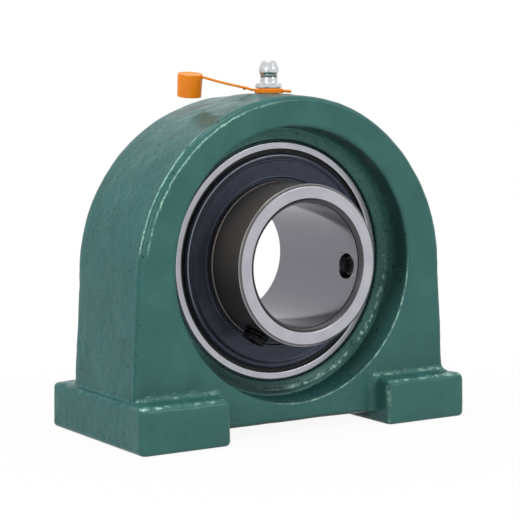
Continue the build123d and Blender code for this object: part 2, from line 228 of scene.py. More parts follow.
# Joins or cuts solids with a Boolean and keeps the result as a plain mesh.
def combined(piece, others, operation):
    for other in others:
        change = piece.modifiers.new(operation, "BOOLEAN")
        change.operation = operation
        change.solver = "MANIFOLD"
        change.object = other
    bpy.context.view_layer.update()
    evaluated = piece.evaluated_get(bpy.context.evaluated_depsgraph_get())
    mesh = bpy.data.meshes.new_from_object(evaluated)
    mesh.name = piece.name
    piece.modifiers.clear()
    piece.data = mesh
    for other in others:
        bpy.data.objects.remove(other)
    return piece


# Faces that meet at more than this angle keep a crisp edge between them.
def crisp(piece, degrees):
    piece.data.shade_smooth()
    piece.data.set_sharp_from_angle(angle=radians(degrees))
    return piece


def setMask(piece, name, values):
    attribute = piece.data.attributes.new(name, "FLOAT", "POINT")
    attribute.data.foreach_set("value", np.asarray(values, np.float32))


# Hands a finished piece over: its material, the body it moves with and its nodes.
def finishPiece(piece, material, body, nodes):
    piece.data.materials.clear()
    piece.data.materials.append(material)
    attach(piece, body)
    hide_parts(*nodes)
    return piece


# ---- camera, light and floor ----

view = dict(  # angles in degrees, lengths in mm
    azimuth=-32.409, elevation=5.587, roll=-0.268,
    distance=504.13, target=(-0.061, 0.0, 47.140), lens=120.404,
)


def placeCamera():
    a, e, r = (radians(view[key]) for key in ("azimuth", "elevation", "roll"))
    back = Vector((sin(a) * cos(e), -cos(a) * cos(e), sin(e)))
    right = (-back).cross(Vector((0, 0, 1))).normalized()
    up = right.cross(-back)
    turnedRight = right * cos(r) + up * sin(r)
    turnedUp = up * cos(r) - right * sin(r)
    data = bpy.data.cameras.new("camera")
    data.sensor_width = 36
    data.lens = view["lens"]
    data.clip_start = 0.01
    camera = bpy.data.objects.new("camera", data)
    place = Matrix((turnedRight, turnedUp, back)).transposed().to_4x4()
    place.translation = (Vector(view["target"]) + back * view["distance"]) / 1000
    camera.matrix_world = place
    scene.collection.objects.link(camera)
    scene.camera = camera


lamps = dict(  # place and size in metres, power in watts
    top=((-0.10, -0.05, 0.75), (0.45, 0.3), 2.4),
    left=((-0.75, -0.35, 0.40), (0.3, 0.35), 1.3),
    front=((0.45, -0.80, 0.50), (0.3, 0.35), 1.95),
)


def placeLamps():
    for name, (spot, size, power) in lamps.items():
        data = bpy.data.lights.new(name, "AREA")
        data.shape = "RECTANGLE"
        data.size, data.size_y = size
        data.energy = power
        lamp = bpy.data.objects.new(name, data)
        lamp.location = spot
        aim = Vector((0, 0, 0.05)) - Vector(spot)
        lamp.rotation_euler = aim.to_track_quat("-Z", "Y").to_euler()
        scene.collection.objects.link(lamp)


# White to the camera and in reflections and glass, and a softer grey as a light.
def setWorld():
    greyLight = 0.55
    world = bpy.data.worlds.new("studio")
    scene.world = world
    world.use_nodes = True
    tree = world.node_tree
    shader = tree.nodes["Background"]
    path = addNode(tree, "ShaderNodeLightPath")
    seen = addNode(tree, "ShaderNodeMath", operation="MAXIMUM", use_clamp=True)
    both = addNode(tree, "ShaderNodeMath", operation="MAXIMUM")
    strength = addNode(tree, "ShaderNodeMapRange")
    setValues(strength, To_Min=greyLight, To_Max=1.0)
    link = tree.links.new
    link(path.outputs["Is Camera Ray"], seen.inputs[0])
    link(path.outputs["Is Glossy Ray"], seen.inputs[1])
    link(seen.outputs[0], both.inputs[0])
    link(path.outputs["Is Transmission Ray"], both.inputs[1])
    link(both.outputs[0], strength.inputs["Value"])
    link(strength.outputs["Result"], shader.inputs["Strength"])
    shader.inputs["Color"].default_value = (1, 1, 1, 1)


ground = dict(
    rings=(1.0, 120.0, 400.0, 1200.0, 6000.0), columns=96, below=0.02, grey=0.85,
    fadeFrom=0.05, fadeTo=0.16, nearShare=0.93,  # the fade to plain white is in metres
)


# A disc whose light surface takes the shadow near the part and fades to plain white far out.
def placeFloor():
    radius = np.array(ground["rings"])[:, None]
    grid = polar(radius, circle(ground["columns"]), -ground["below"])
    index = np.arange(grid.shape[0] * grid.shape[1]).reshape(grid.shape[:2])
    low, high = index[:-1], index[1:]
    quads = np.stack([low, np.roll(low, -1, 1), np.roll(high, -1, 1), high], -1)
    mesh = bpy.data.meshes.new("floor")
    faces = [tuple(index[0])] + [tuple(quad) for quad in quads.reshape(-1, 4)]
    mesh.from_pydata((grid.reshape(-1, 3) * 0.001).tolist(), [], faces)
    mesh.update()
    floor = bpy.data.objects.new("floor", mesh)
    scene.collection.objects.link(floor)
    material = bpy.data.materials.new("paleFloor")
    material.use_nodes = True
    tree = material.node_tree
    tree.nodes.remove(tree.nodes["Principled BSDF"])
    matt = addNode(tree, "ShaderNodeBsdfDiffuse")
    matt.inputs["Color"].default_value = (*[ground["grey"]] * 3, 1)
    glow = addNode(tree, "ShaderNodeEmission")
    glow.inputs["Color"].default_value = (1, 1, 1, 1)
    mix = addNode(tree, "ShaderNodeMixShader")
    place = addNode(tree, "ShaderNodeTexCoord")
    far = addNode(tree, "ShaderNodeVectorMath", operation="LENGTH")
    fade = addNode(tree, "ShaderNodeMapRange", interpolation_type="SMOOTHSTEP")
    setValues(fade, From_Min=ground["fadeFrom"], From_Max=ground["fadeTo"])
    setValues(fade, To_Min=ground["nearShare"], To_Max=1.0)
    path = addNode(tree, "ShaderNodeLightPath")
    seen = addNode(tree, "ShaderNodeMath", operation="MAXIMUM")
    share = addNode(tree, "ShaderNodeMath", operation="MULTIPLY")
    link = tree.links.new
    link(place.outputs["Object"], far.inputs[0])
    link(far.outputs["Value"], fade.inputs["Value"])
    link(path.outputs["Is Camera Ray"], seen.inputs[0])
    link(path.outputs["Is Glossy Ray"], seen.inputs[1])
    link(fade.outputs["Result"], share.inputs[0])
    link(seen.outputs[0], share.inputs[1])
    link(share.outputs[0], mix.inputs["Fac"])
    link(matt.outputs[0], mix.inputs[1])
    link(glow.outputs[0], mix.inputs[2])
    link(mix.outputs[0], tree.nodes["Material Output"].inputs["Surface"])
    mesh.materials.append(material)


# ---- materials ----

def screenColour(red, green, blue):
    # A colour as it shows on a screen, 0 to 255, as linear light.
    channels = np.array([red, green, blue]) / 255
    linear = np.where(channels <= 0.04045, channels / 12.92, ((channels + 0.055) / 1.055) ** 2.4)
    return (*linear.tolist(), 1.0)


# A shader group with number inputs, given by name and first value, and one output.
def newGroup(name, **inputs):
    group = bpy.data.node_groups.new(name, "ShaderNodeTree")
    for socket, value in inputs.items():
        made = group.interface.new_socket(socket, in_out="INPUT", socket_type="NodeSocketFloat")
        made.default_value = value
    group.interface.new_socket("Value", in_out="OUTPUT", socket_type="NodeSocketFloat")
    return group, addNode(group, "NodeGroupInput"), addNode(group, "NodeGroupOutput")


# The end that both groups share: noise read at a place and a size in mm, with its usual
# range of 0.3 to 0.7 spread over Low to High.
def spreadNoise(group, place, size, source, result):
    scale = addNode(group, "ShaderNodeMath", operation="DIVIDE")
    scale.inputs[0].default_value = 1000
    noise = addNode(group, "ShaderNodeTexNoise")
    spread = addNode(group, "ShaderNodeMapRange")
    setValues(spread, From_Min=0.3, From_Max=0.7)
    link = group.links.new
    link(size, scale.inputs[1])
    link(place, noise.inputs["Vector"])
    link(scale.outputs[0], noise.inputs["Scale"])
    link(noise.outputs["Fac"], spread.inputs["Value"])
    link(source.outputs["Low"], spread.inputs["To Min"])
    link(source.outputs["High"], spread.inputs["To Max"])
    link(spread.outputs["Result"], result.inputs["Value"])
    return noise


# Noise in the part's own coordinates.
def makeGrain():
    group, source, result = newGroup("grain", Size=1.0, Detail=3.0, Low=0.0, High=1.0)
    place = addNode(group, "ShaderNodeTexCoord").outputs["Object"]
    noise = spreadNoise(group, place, source.outputs["Size"], source, result)
    group.links.new(source.outputs["Detail"], noise.inputs["Detail"])
    return group


# Fine circular tool marks about the bearing axis: noise read at (distance from the axis,
# place along the axis), so that it is the same all the way round.
def makeToolMarks():
    group, source, result = newGroup("toolMarks", Pitch=0.1, Low=0.0, High=1.0)
    place = addNode(group, "ShaderNodeTexCoord")
    shift = addNode(group, "ShaderNodeVectorMath", operation="SUBTRACT")
    shift.inputs[1].default_value = (0, 0, axisHeight / 1000)
    apart = addNode(group, "ShaderNodeSeparateXYZ")
    flat = addNode(group, "ShaderNodeCombineXYZ")
    reach = addNode(group, "ShaderNodeVectorMath", operation="LENGTH")
    line = addNode(group, "ShaderNodeCombineXYZ")
    link = group.links.new
    link(place.outputs["Object"], shift.inputs[0])
    link(shift.outputs[0], apart.inputs[0])
    link(apart.outputs["X"], flat.inputs["X"])
    link(apart.outputs["Z"], flat.inputs["Z"])
    link(flat.outputs[0], reach.inputs[0])
    link(reach.outputs["Value"], line.inputs["X"])
    link(apart.outputs["Y"], line.inputs["Y"])
    noise = spreadNoise(group, line.outputs[0], source.outputs["Pitch"], source, result)
    setValues(noise, Detail=2.0)
    return group


grainGroup = makeGrain()
toolMarksGroup = makeToolMarks()


class Finish:
    # One material: its Principled shader, with helpers that place the shared groups in it.
    def __init__(self, name, colour, metallic, roughness, **sockets):
        self.material = bpy.data.materials.new(name)
        self.material.use_nodes = True
        self.tree = self.material.node_tree
        self.shader = self.tree.nodes["Principled BSDF"]
        sockets.update(Base_Color=colour, Metallic=metallic, Roughness=roughness)
        setValues(self.shader, **sockets)

    def link(self, a, b):
        self.tree.links.new(a, b)

    def feed(self, socket, value):  # a number or a colour is set, anything else is linked
        if isinstance(value, (int, float, tuple)):
            socket.default_value = value
        else:
            self.link(value, socket)

    def node(self, kind, **settings):
        return addNode(self.tree, kind, **settings)

    def grain(self, size, low=0.0, high=1.0, detail=3.0):
        made = self.node("ShaderNodeGroup", node_tree=grainGroup)
        setValues(made, Size=size, Detail=detail, Low=low, High=high)
        return made.outputs["Value"]

    def toolMarks(self, pitch, low=0.0, high=1.0):
        made = self.node("ShaderNodeGroup", node_tree=toolMarksGroup)
        setValues(made, Pitch=pitch, Low=low, High=high)
        return made.outputs["Value"]

    def mask(self, name):
        return self.node("ShaderNodeAttribute", attribute_name=name).outputs["Fac"]

    def mixColours(self, factor, first, second):
        made = self.node("ShaderNodeMix", data_type="RGBA")
        self.link(factor, made.inputs[0])
        self.feed(made.inputs[6], first)
        self.feed(made.inputs[7], second)
        return made.outputs[2]

    def mixValues(self, factor, first, second):
        made = self.node("ShaderNodeMix", data_type="FLOAT")
        self.link(factor, made.inputs[0])
        self.feed(made.inputs[2], first)
        self.feed(made.inputs[3], second)
        return made.outputs[0]

    def math(self, operation, first, second):
        made = self.node("ShaderNodeMath", operation=operation)
        self.feed(made.inputs[0], first)
        self.feed(made.inputs[1], second)
        return made.outputs[0]

    def paint(self, colour):
        self.link(colour, self.shader.inputs["Base Color"])

    def rough(self, value):
        self.link(value, self.shader.inputs["Roughness"])

    # Bumps stack: each one's normal feeds the next.
    def bump(self, height, distance, strength=1.0, after=None):
        made = self.node("ShaderNodeBump")
        setValues(made, Distance=distance * 0.001, Strength=strength)
        self.link(height, made.inputs["Height"])
        if after is not None:
            self.link(after, made.inputs["Normal"])
        self.link(made.outputs["Normal"], self.shader.inputs["Normal"])
        return made.outputs["Normal"]


enamel = dict(
    clouds=((55, 99, 94), (62, 109, 103)), sideShadeClouds=((38, 93, 90), (44, 103, 100)),
    cloudSize=9.0, pit=(10, 52, 49), pitSize=1.1, highlight=(180, 224, 207), highlightSize=0.8,
    hollow=(9, 26, 24), gloss=(0.24, 0.36), glossSize=2.5,
    skinSize=2.2, skinHeight=0.06, peelSize=0.5, peelHeight=0.003,
)


# Green enamel over a sand casting: two close greens in clouds, a darker, bluer pair painted as
# shade where the surface faces sideways, a few dark pits, painted highlights in pale lines and
# glints, painted shade in the hollows, and a skin that is calmer on the front face.
def makeGreenPaint():
    c = enamel
    paint = Finish(
        "greenPaint", screenColour(52, 100, 96), 0.0, 0.3,
        Specular_IOR_Level=0.1, Coat_Weight=0.1, Coat_Roughness=0.07,
    )
    skin = paint.mask("castSkin")
    clouds, sides = (
        paint.mixColours(paint.grain(c["cloudSize"]), *(screenColour(*tone) for tone in c[pair]))
        for pair in ("clouds", "sideShadeClouds")
    )
    greens = paint.mixColours(paint.mask("sideShade"), clouds, sides)
    # A range that starts far below 0 leaves only the noise's rare peaks above it.
    sparse = paint.math("MULTIPLY", paint.grain(c["pitSize"], -125.0, 1.0, 1.0), skin)
    pitted = paint.mixColours(sparse, greens, screenColour(*c["pit"]))
    # Painted highlights: the pale tone lies in broken lines where its mask says.
    broken = paint.grain(c["highlightSize"], 0.15, 1.5, 2.0)
    highlight = paint.math("MULTIPLY", paint.mask("paintedHighlight"), broken)
    lined = paint.mixColours(highlight, pitted, screenColour(*c["highlight"]))
    paint.paint(paint.mixColours(paint.mask("hollow"), lined, screenColour(*c["hollow"])))
    paint.rough(paint.grain(c["glossSize"], *c["gloss"]))
    coarse = paint.math("MULTIPLY", paint.grain(c["skinSize"], 0.0, 1.0, 4.0), skin)
    first = paint.bump(coarse, c["skinHeight"])
    paint.bump(paint.grain(c["peelSize"], 0.0, 1.0, 2.0), c["peelHeight"], 1.0, first)
    return paint.material


def makeGroundSteel(name, tone, roughness, pitch):
    colour = screenColour(*tone)
    darker = (*(0.88 * part for part in colour[:3]), 1.0)
    steel = Finish(name, colour, 1.0, roughness)
    steel.rough(steel.toolMarks(pitch, roughness * 0.75, roughness * 1.3))
    steel.paint(steel.mixColours(steel.grain(5.0), colour, darker))
    steel.bump(steel.toolMarks(pitch), 0.004)
    return steel.material


phosphate = dict(first=(46, 51, 65), second=(56, 61, 75), highlightArcs=(170, 174, 184), metallic=0.55)


# Dark phosphate on a pressed disc: blue-black and satin, with faint pressing rings and dust,
# and a painted highlight in two thin pale arcs where its mask says so.
def makeDarkSlinger():
    c = phosphate
    first, second, pale = (screenColour(*c[tone]) for tone in ("first", "second", "highlightArcs"))
    dark = Finish("darkSlinger", first, c["metallic"], 0.42)
    clouds = dark.mixColours(dark.grain(3.0), first, second)
    dark.paint(dark.mixColours(dark.mask("highlightArcs"), clouds, pale))
    dark.rough(dark.grain(0.8, 0.34, 0.5))
    pressed = dark.bump(dark.toolMarks(0.35), 0.006)
    dark.bump(dark.grain(0.3), 0.006, 1.0, pressed)
    return dark.material


# Two colours, metallic, range of roughness, and size of grain and height of bumps in mm.
plainFinishes = dict(
    blackOxide=((40, 40, 43), (26, 26, 28), 0.8, (0.25, 0.42), 0.25, 0.006),
    sealRubber=((22, 22, 24), (30, 30, 32), 0.0, (0.55, 0.75), 0.5, 0.02),
    cageNylon=((222, 214, 192), (208, 198, 174), 0.0, (0.4, 0.55), 0.6, 0.01),
    ballSteel=((226, 226, 228), (214, 214, 218), 1.0, (0.05, 0.1), 1.0, 0.001),
    springSteel=((150, 150, 155), (120, 120, 125), 1.0, (0.25, 0.4), 0.2, 0.003),
    orangePlastic=((255, 146, 10), (255, 136, 8), 0.0, (0.3, 0.42), 0.5, 0.006, 0.35),
)


def makePlain(name, first, second, metallic, roughness, size, height, specular=0.5):
    colour, other = screenColour(*first), screenColour(*second)
    plain = Finish(name, colour, metallic, sum(roughness) / 2, Specular_IOR_Level=specular)
    plain.paint(plain.mixColours(plain.grain(size * 4), colour, other))
    plain.rough(plain.grain(size * 2, *roughness))
    plain.bump(plain.grain(size), height)
    return plain.material


greenPaint = makeGreenPaint()
ringSteel = makeGroundSteel("ringSteel", (178, 178, 186), 0.26, 0.12)
darkSlinger = makeDarkSlinger()
blackOxide, sealRubber, cageNylon, ballSteel, springSteel, orangePlastic = (
    makePlain(name, *values) for name, values in plainFinishes.items()
)
print("materials made")


# ---- housing ----

casting = dict(
    front=-19.8, back=19.8, archTop=94.6, archRadius=50.16, flare=3.2, draft=1.1,
    frontEdge=1.5, bead=0.1, backEdge=3.0, relief=3.0,
    mouth=38.85, mouthEdge=0.6, mouthShift=(-0.4, -0.4), floor=38.1, floorDepth=11.0,
    floorCorner=0.6, lip=36.7, lipEdge=0.3, lipLean=0.5, seat=36.0, seatFront=9.7,
    backMouth=38.5, backRound=0.5, backFloorRound=1.0,
    root=2.2, ledgeRoot=1.1, ledge=2.4,
    bossHeight=95.1, bossPlace=-5.0, bossFlat=4.4, bossReach=13.0,
    footSpan=108.8, footDepth=54.8, footWidth=28.2, footHeight=13.0, footCorner=2.2,
    footEdge=1.9, footBottom=1.3, footDraft=0.015, footLean=0.16,
    boltSpacing=80.0, boltDepth=20.0, boltCore=6.0, boltThread=0.85, boltPitch=2.0,
    boltFrom=-0.9, boltMouth=((-0.8, 7.6), (0.8, 6.1)),
    greaseWay=1.5, greaseFrom=49.0, nippleHole=3.22, nippleDepth=8.5,
)


# Distance from the bearing axis to the body's outline, moved inwards by inset, along rays at
# the given angles. The outline is a circle about a lower centre, two leaning flanks that
# touch it, and the level bottom.
def outlineReach(angle, inset, bottomInset):
    radius = casting["archRadius"] - inset
    above = axisHeight - (casting["archTop"] - casting["archRadius"])
    across, up = np.abs(np.cos(angle)), np.sin(angle)
    toArch = -up * above + np.sqrt((up * above) ** 2 - above**2 + radius**2)
    flare = radians(casting["flare"])
    towards = np.maximum(cos(flare) * across + sin(flare) * up, 1e-3)
    toFlank = (radius - sin(flare) * above) / towards
    onArch = toArch * up + above > radius * sin(flare)
    side = np.where(onArch, toArch, toFlank)
    room = axisHeight - casting["relief"] - bottomInset
    toBottom = np.where(up < -1e-6, room / np.maximum(-up, 1e-6), 1e6)
    return np.minimum(side, toBottom)


# The share of the draft that each angle has: all of it on the flanks, half at the arch's top.
def draftShare(angle):
    return 1 - 0.5 * smoothStep(np.sin(angle), 0.93, 0.99)


def bodyAngles():
    corner = outlineCorner()
    around = np.linspace(-corner, pi + corner, 374, endpoint=False)
    half = (axisHeight - casting["relief"]) / tan(corner)
    bottom = np.linspace(-half, half, 60, endpoint=False)
    return np.concatenate([around, np.arctan2(casting["relief"] - axisHeight, bottom)])


def outlineCorner():
    # Angle below level at which the flank meets the bottom.
    flare = radians(casting["flare"])
    centreHeight = casting["archTop"] - casting["archRadius"]
    tangentHeight = centreHeight + casting["archRadius"] * sin(flare)
    half = casting["archRadius"] * cos(flare) + (tangentHeight - casting["relief"]) * tan(flare)
    return atan2(axisHeight - casting["relief"], half)


# The body is a section carried round the bearing axis: face, edge, wall, edge, back face,
# back recess, seat and front recess. Each row gives a distance from the axis, which on the
# outside follows the outline, and a place along Y.
def bodyGrid():
    c = casting
    angle = bodyAngles()
    rows = []

    def onCircle(radius, along):
        rows.append((np.full(angle.shape, radius), along))

    def onOutline(inset, bottomInset, along):
        rows.append((outlineReach(angle, inset, bottomInset), along))

    # Mouth of the front recess, the front face, and the front edge with a bead of paint along
    # both sides of it.
    edge = c["mouthEdge"]
    faceStart = c["mouth"] + edge
    for q in quarter(6):
        onCircle(faceStart - edge * cos(q), c["front"] + edge * (1 - sin(q)))
    edge = c["frontEdge"]
    faceEnd = outlineReach(angle, edge, edge)
    for t in (0.02, 0.06, 0.14, 0.24, 0.34, 0.44, 0.54, 0.64, 0.74, 0.83, 0.91, 0.96, 0.985):
        rows.append((faceStart + (faceEnd - faceStart) * t, c["front"]))
    for q in quarter(10):
        bead = c["bead"] * (bell(q, 0.22) + bell(q - pi / 2, 0.22))
        inset = edge * (1 - sin(q)) - bead * sin(q)
        onOutline(inset, inset, c["front"] + edge * (1 - cos(q)) - bead * cos(q))

    # The wall draws in towards the back by the draft, and the back edge is rounder.
    narrowing = tan(radians(c["draft"])) * draftShare(angle)
    edge = c["backEdge"]
    wallStart, wallEnd = c["front"] + c["frontEdge"], c["back"] - edge
    for along in np.linspace(wallStart, wallEnd, 42)[1:-1]:
        onOutline((along - wallStart) * narrowing, 0, along)
    total = (wallEnd - wallStart) * narrowing
    for q in quarter(9):
        inset = edge * (1 - cos(q))
        onOutline(total + inset, inset * 0.3, c["back"] - edge * (1 - sin(q)))

    # Back face and back recess.
    faceEnd = outlineReach(angle, total + edge, edge * 0.3)
    edge, depth = c["backRound"], c["floorDepth"]
    backStart, backWall = c["backMouth"] + edge, c["back"] - edge
    for t in np.linspace(1, 0, 14)[1:-1]:
        rows.append((backStart + (faceEnd - backStart) * t, c["back"]))
    for q in quarter(5)[::-1]:
        onCircle(backStart - edge * cos(q), c["back"] - edge * (1 - sin(q)))
    for t in (0.2, 0.45, 0.7, 0.85):
        radius = c["backMouth"] + (c["floor"] - c["backMouth"]) * t
        onCircle(radius, backWall + (depth - backWall) * t)
    edge = c["backFloorRound"]
    for q in quarter(6):
        onCircle(c["floor"] - edge * (1 - cos(q)), depth + edge * (1 - sin(q)))

    # The spherical seat, r = sqrt(R^2 - y^2), and its front edge.
    onCircle(sqrt(c["seat"] ** 2 - depth**2) + 0.25, depth)
    for along in np.linspace(depth - 0.2, -c["seatFront"], 9):
        onCircle(sqrt(c["seat"] ** 2 - along**2), along)
    edge = c["lipEdge"]
    seatEnd = sqrt(c["seat"] ** 2 - c["seatFront"] ** 2)
    for q in quarter(4):
        onCircle(seatEnd + edge * sin(q), -c["seatFront"] - edge * (1 - cos(q)))

    # Floor of the front recess: a machined annulus out to the lip, and a lower cast floor.
    lipStart, lipPlace = seatEnd + edge, -c["seatFront"] - edge
    for t in np.linspace(0.12, 1, 9):
        onCircle(lipStart + (c["lip"] - lipStart) * t, lipPlace - c["lipLean"] * t)
    for t in (0.1, 0.25, 0.45, 0.7):
        drop = c["lipLean"] * (1 + smoothStep(t, 0, 0.4))
        onCircle(c["lip"] + (c["floor"] - c["lip"] - 0.5) * t, lipPlace - drop)

    # The floor's rounded corner and the wall out to the mouth.
    edge, wallRadius = c["floorCorner"], c["floor"] + 0.15
    for q in quarter(6):
        onCircle(wallRadius - edge * (1 - sin(q)), -depth - edge * (1 - cos(q)) - 0.02)
    wallPlace, mouthPlace = -depth - edge, c["front"] + c["mouthEdge"]
    for t in np.linspace(0, 1, 12)[1:-1]:
        radius = wallRadius + (c["mouth"] - wallRadius) * t
        onCircle(radius, wallPlace + (mouthPlace - wallPlace) * t)

    reach = np.stack([row[0] for row in rows])
    along = np.array([row[1] for row in rows])[:, None] + 0 * reach
    grid = np.stack([reach * np.cos(angle), along, axisHeight + reach * np.sin(angle)], -1)

    # The recess's wall and mouth lie off the axis, and the face evens that out.
    share = (1 - smoothStep(along, -11.5, -10.9)) * smoothStep(reach, 36.4, 37.4)
    share *= 1 - smoothStep(reach, faceStart, faceStart + 6)
    share *= along < c["front"] + 9.5
    grid[..., 0] += share * c["mouthShift"][0]
    grid[..., 2] += share * c["mouthShift"][1]
    return grid


# The faced pad under the grease nipple: level near it, then blended into the arch as a swell
# that reaches further back than forward. It adds share * (pad height - arch height).
def addBoss(grid):
    c = casting
    x, y, z = np.moveaxis(grid, -1, 0)
    centre = c["archTop"] - c["archRadius"]
    arch = centre + np.sqrt(c["archRadius"] ** 2 - np.clip(x, -30, 30) ** 2)
    behind = y - c["bossPlace"]
    away = np.hypot(x, np.where(behind > 0, 0.6 * behind, behind))
    share = (1 - smoothStep(away, c["bossFlat"], c["bossReach"])) * (z > 88)
    fall = (y - c["front"]) * 0.5 * tan(radians(c["draft"]))
    return np.stack([x, y, z + share * (c["bossHeight"] - arch + fall)], -1)


castLumps = ((0.14, 11.0, 1), (0.07, 3.6, 2), (0.045, 1.5, 3))  # height and size in mm, seed


# Sand-cast unevenness along the surface's own direction: the sum of height * random height.
def castUnevenness(points, amount):
    return amount * sum(height * randomSkin(points, *lump) for height, *lump in castLumps)


def makeBody():
    c = casting
    grid = bodyGrid()
    ways = gridDirections(grid)
    fromAxis = grid[:, :, [0, 2]] - [0, axisHeight]
    onWall = np.sum(ways[:, :, [0, 2]] * fromAxis, -1)[30:60]
    if np.mean(onWall) < 0:
        ways = -ways
    grid = addBoss(grid)
    x, y, z = np.moveaxis(grid, -1, 0)
    across = np.hypot(x, z - axisHeight)
    inSeat = (across < 36.2) & (y > -10.2) & (y < 10.9)
    onFace = smoothStep(-y, -c["front"] - 0.4, -c["front"] - 0.05)
    nearPad = 1 - smoothStep(np.hypot(x, y - c["bossPlace"]), c["bossFlat"], 6.5)
    calm = 1 - 0.72 * onFace
    calm = np.where((z > 90) & (nearPad > 0), calm * (1 - nearPad), calm)
    amount = np.where(inSeat, 0, calm)
    lip = bell(across - c["lip"], 0.35) * (y < -9.8) * (y > -12)
    bumps = lip * (0.16 + 0.2 * randomSkin(grid, 1.3, 14))
    grid = grid + ways * (castUnevenness(grid, amount) + bumps)[..., None]
    return gridPiece("housingBody", grid)


# Points and outward directions round a rectangle with rounded corners, evenly spaced: four
# quarter circles joined by straights, then sampled again at equal steps of its length.
def roundedRectangle(halfX, halfY, radius, columns):
    q = quarter(24)
    corner = np.stack([np.cos(q), np.sin(q)], -1)
    line = []
    for turn, (sx, sy) in enumerate(((1, 1), (-1, 1), (-1, -1), (1, -1))):
        c, s = (1, 0, -1, 0)[turn], (0, 1, 0, -1)[turn]
        turned = corner @ np.array([[c, s], [-s, c]])
        line.append([sx * (halfX - radius), sy * (halfY - radius)] + radius * turned)
    line = np.concatenate(line)
    closed = np.vstack([line, line[:1]])
    length = np.concatenate([[0], np.cumsum(np.linalg.norm(np.diff(closed, axis=0), axis=1))])
    even = np.linspace(0, length[-1], columns, endpoint=False)
    points = np.stack([np.interp(even, length, closed[:, k]) for k in range(2)], -1)
    ahead = np.roll(points, -1, 0) - np.roll(points, 1, 0)
    ways = np.stack([ahead[:, 1], -ahead[:, 0]], -1)
    return points, ways / np.linalg.norm(ways, axis=1, keepdims=True)


# A foot: a rounded rectangle carried up through insets and heights, its ends shrunk to the
# middle and closed at a pole.
def makeFoot(name, side):
    c = casting
    halfX, halfY = c["footWidth"] / 2, c["footDepth"] / 2
    points, ways = roundedRectangle(halfX, halfY, c["footCorner"], 256)
    middle = np.array([side * (c["footSpan"] / 2 - halfX), 0.0])
    low, edge, top, lean = c["footBottom"], c["footEdge"], c["footHeight"], c["footLean"]
    rows = []

    def addRow(share, inset, height):
        place = middle + (points - ways * inset) * share
        rows.append(np.column_stack([place, np.full(len(place), height)]))

    for share in (0.3, 0.7, 0.985):
        addRow(share, low, 0.0)
    for q in quarter(6):
        addRow(1, low * (1 - sin(q)), low * (1 - cos(q)))
    for height in np.linspace(low, top - edge, 20)[1:-1]:
        addRow(1, c["footDraft"] * (height - low), height)
    for q in quarter(12):
        addRow(1, lean + edge * (1 - cos(q)), top - edge * (1 - sin(q)))
    for share in (0.985, 0.95, 0.88, 0.8, 0.72, 0.64, 0.56, 0.48, 0.4, 0.3, 0.2, 0.1):
        addRow(share, lean + edge, top)
    grid = np.stack(rows)
    directions = gridDirections(grid)
    outward = np.sum(directions[9:26, :, :2] * (grid[9:26, :, :2] - middle), -1).mean()
    directions = directions if outward > 0 else -directions
    directions[[0, -1]] = [[[0, 0, -1]], [[0, 0, 1]]]
    height = grid[..., 2]
    amount = 0.9 * smoothStep(height, 0.0, 0.8) + 0.5 * smoothStep(height, top - 0.5, top)
    lumps = 0.2 * bell(height - top + 0.6, 0.9) * randomSkin(grid, 2.3, 11) - 0.1 * amount
    grid = grid + directions * (castUnevenness(grid, amount) + lumps)[..., None]
    grid = np.clip(grid, [-c["footSpan"] / 2, -halfY, 0], [c["footSpan"] / 2, halfY, 95])
    return gridPiece(name, grid, [[*middle, 0.0], [*middle, top]])


# Cutter for a tapped hole: radius = core + depth * ridge, with the ridge cut off flat.
def threadedRod(name, place, bottom, top, core, depth, pitch, tipRise, columns=72):
    height = np.arange(bottom, top, pitch / 10)[:, None]
    angle = circle(columns)
    ridge = np.clip(threadRidge(height, angle, pitch) * 1.25 - 0.1, 0, 1)
    grid = polar(core + depth * ridge, angle, height) + place
    poles = np.array([[0, 0, height[0, 0]], [0, 0, height[-1, 0] + tipRise]]) + place
    return gridPiece(name, grid, poles)


# Cutter turned from (height, radius) pairs.
def uprightRod(name, place, rows):
    profile = np.array(rows, float)
    grid = turnedUpright(profile, 48) + place
    poles = np.array([[0, 0, profile[0, 0]], [0, 0, profile[-1, 0]]]) + place
    return gridPiece(name, grid, poles)


slots = dict(half=10.4, radius=36.15, places=(0.6, 11.0, 21.0))


# Cutter for the two loading slots: the part of a circle between two levels, carried back.
def makeSlotCutter():
    c = slots
    edge = np.arcsin(c["half"] / c["radius"])
    right = np.linspace(-edge, edge, 14)
    angle = np.concatenate([right, right + pi])
    x, z = c["radius"] * np.cos(angle), axisHeight + c["radius"] * np.sin(angle)
    grid = np.stack([np.stack([x, 0 * x + y, z], -1) for y in c["places"]])
    poles = [[0, y, axisHeight] for y in (c["places"][0], c["places"][-1])]
    return gridPiece("slotCutter", grid, poles)


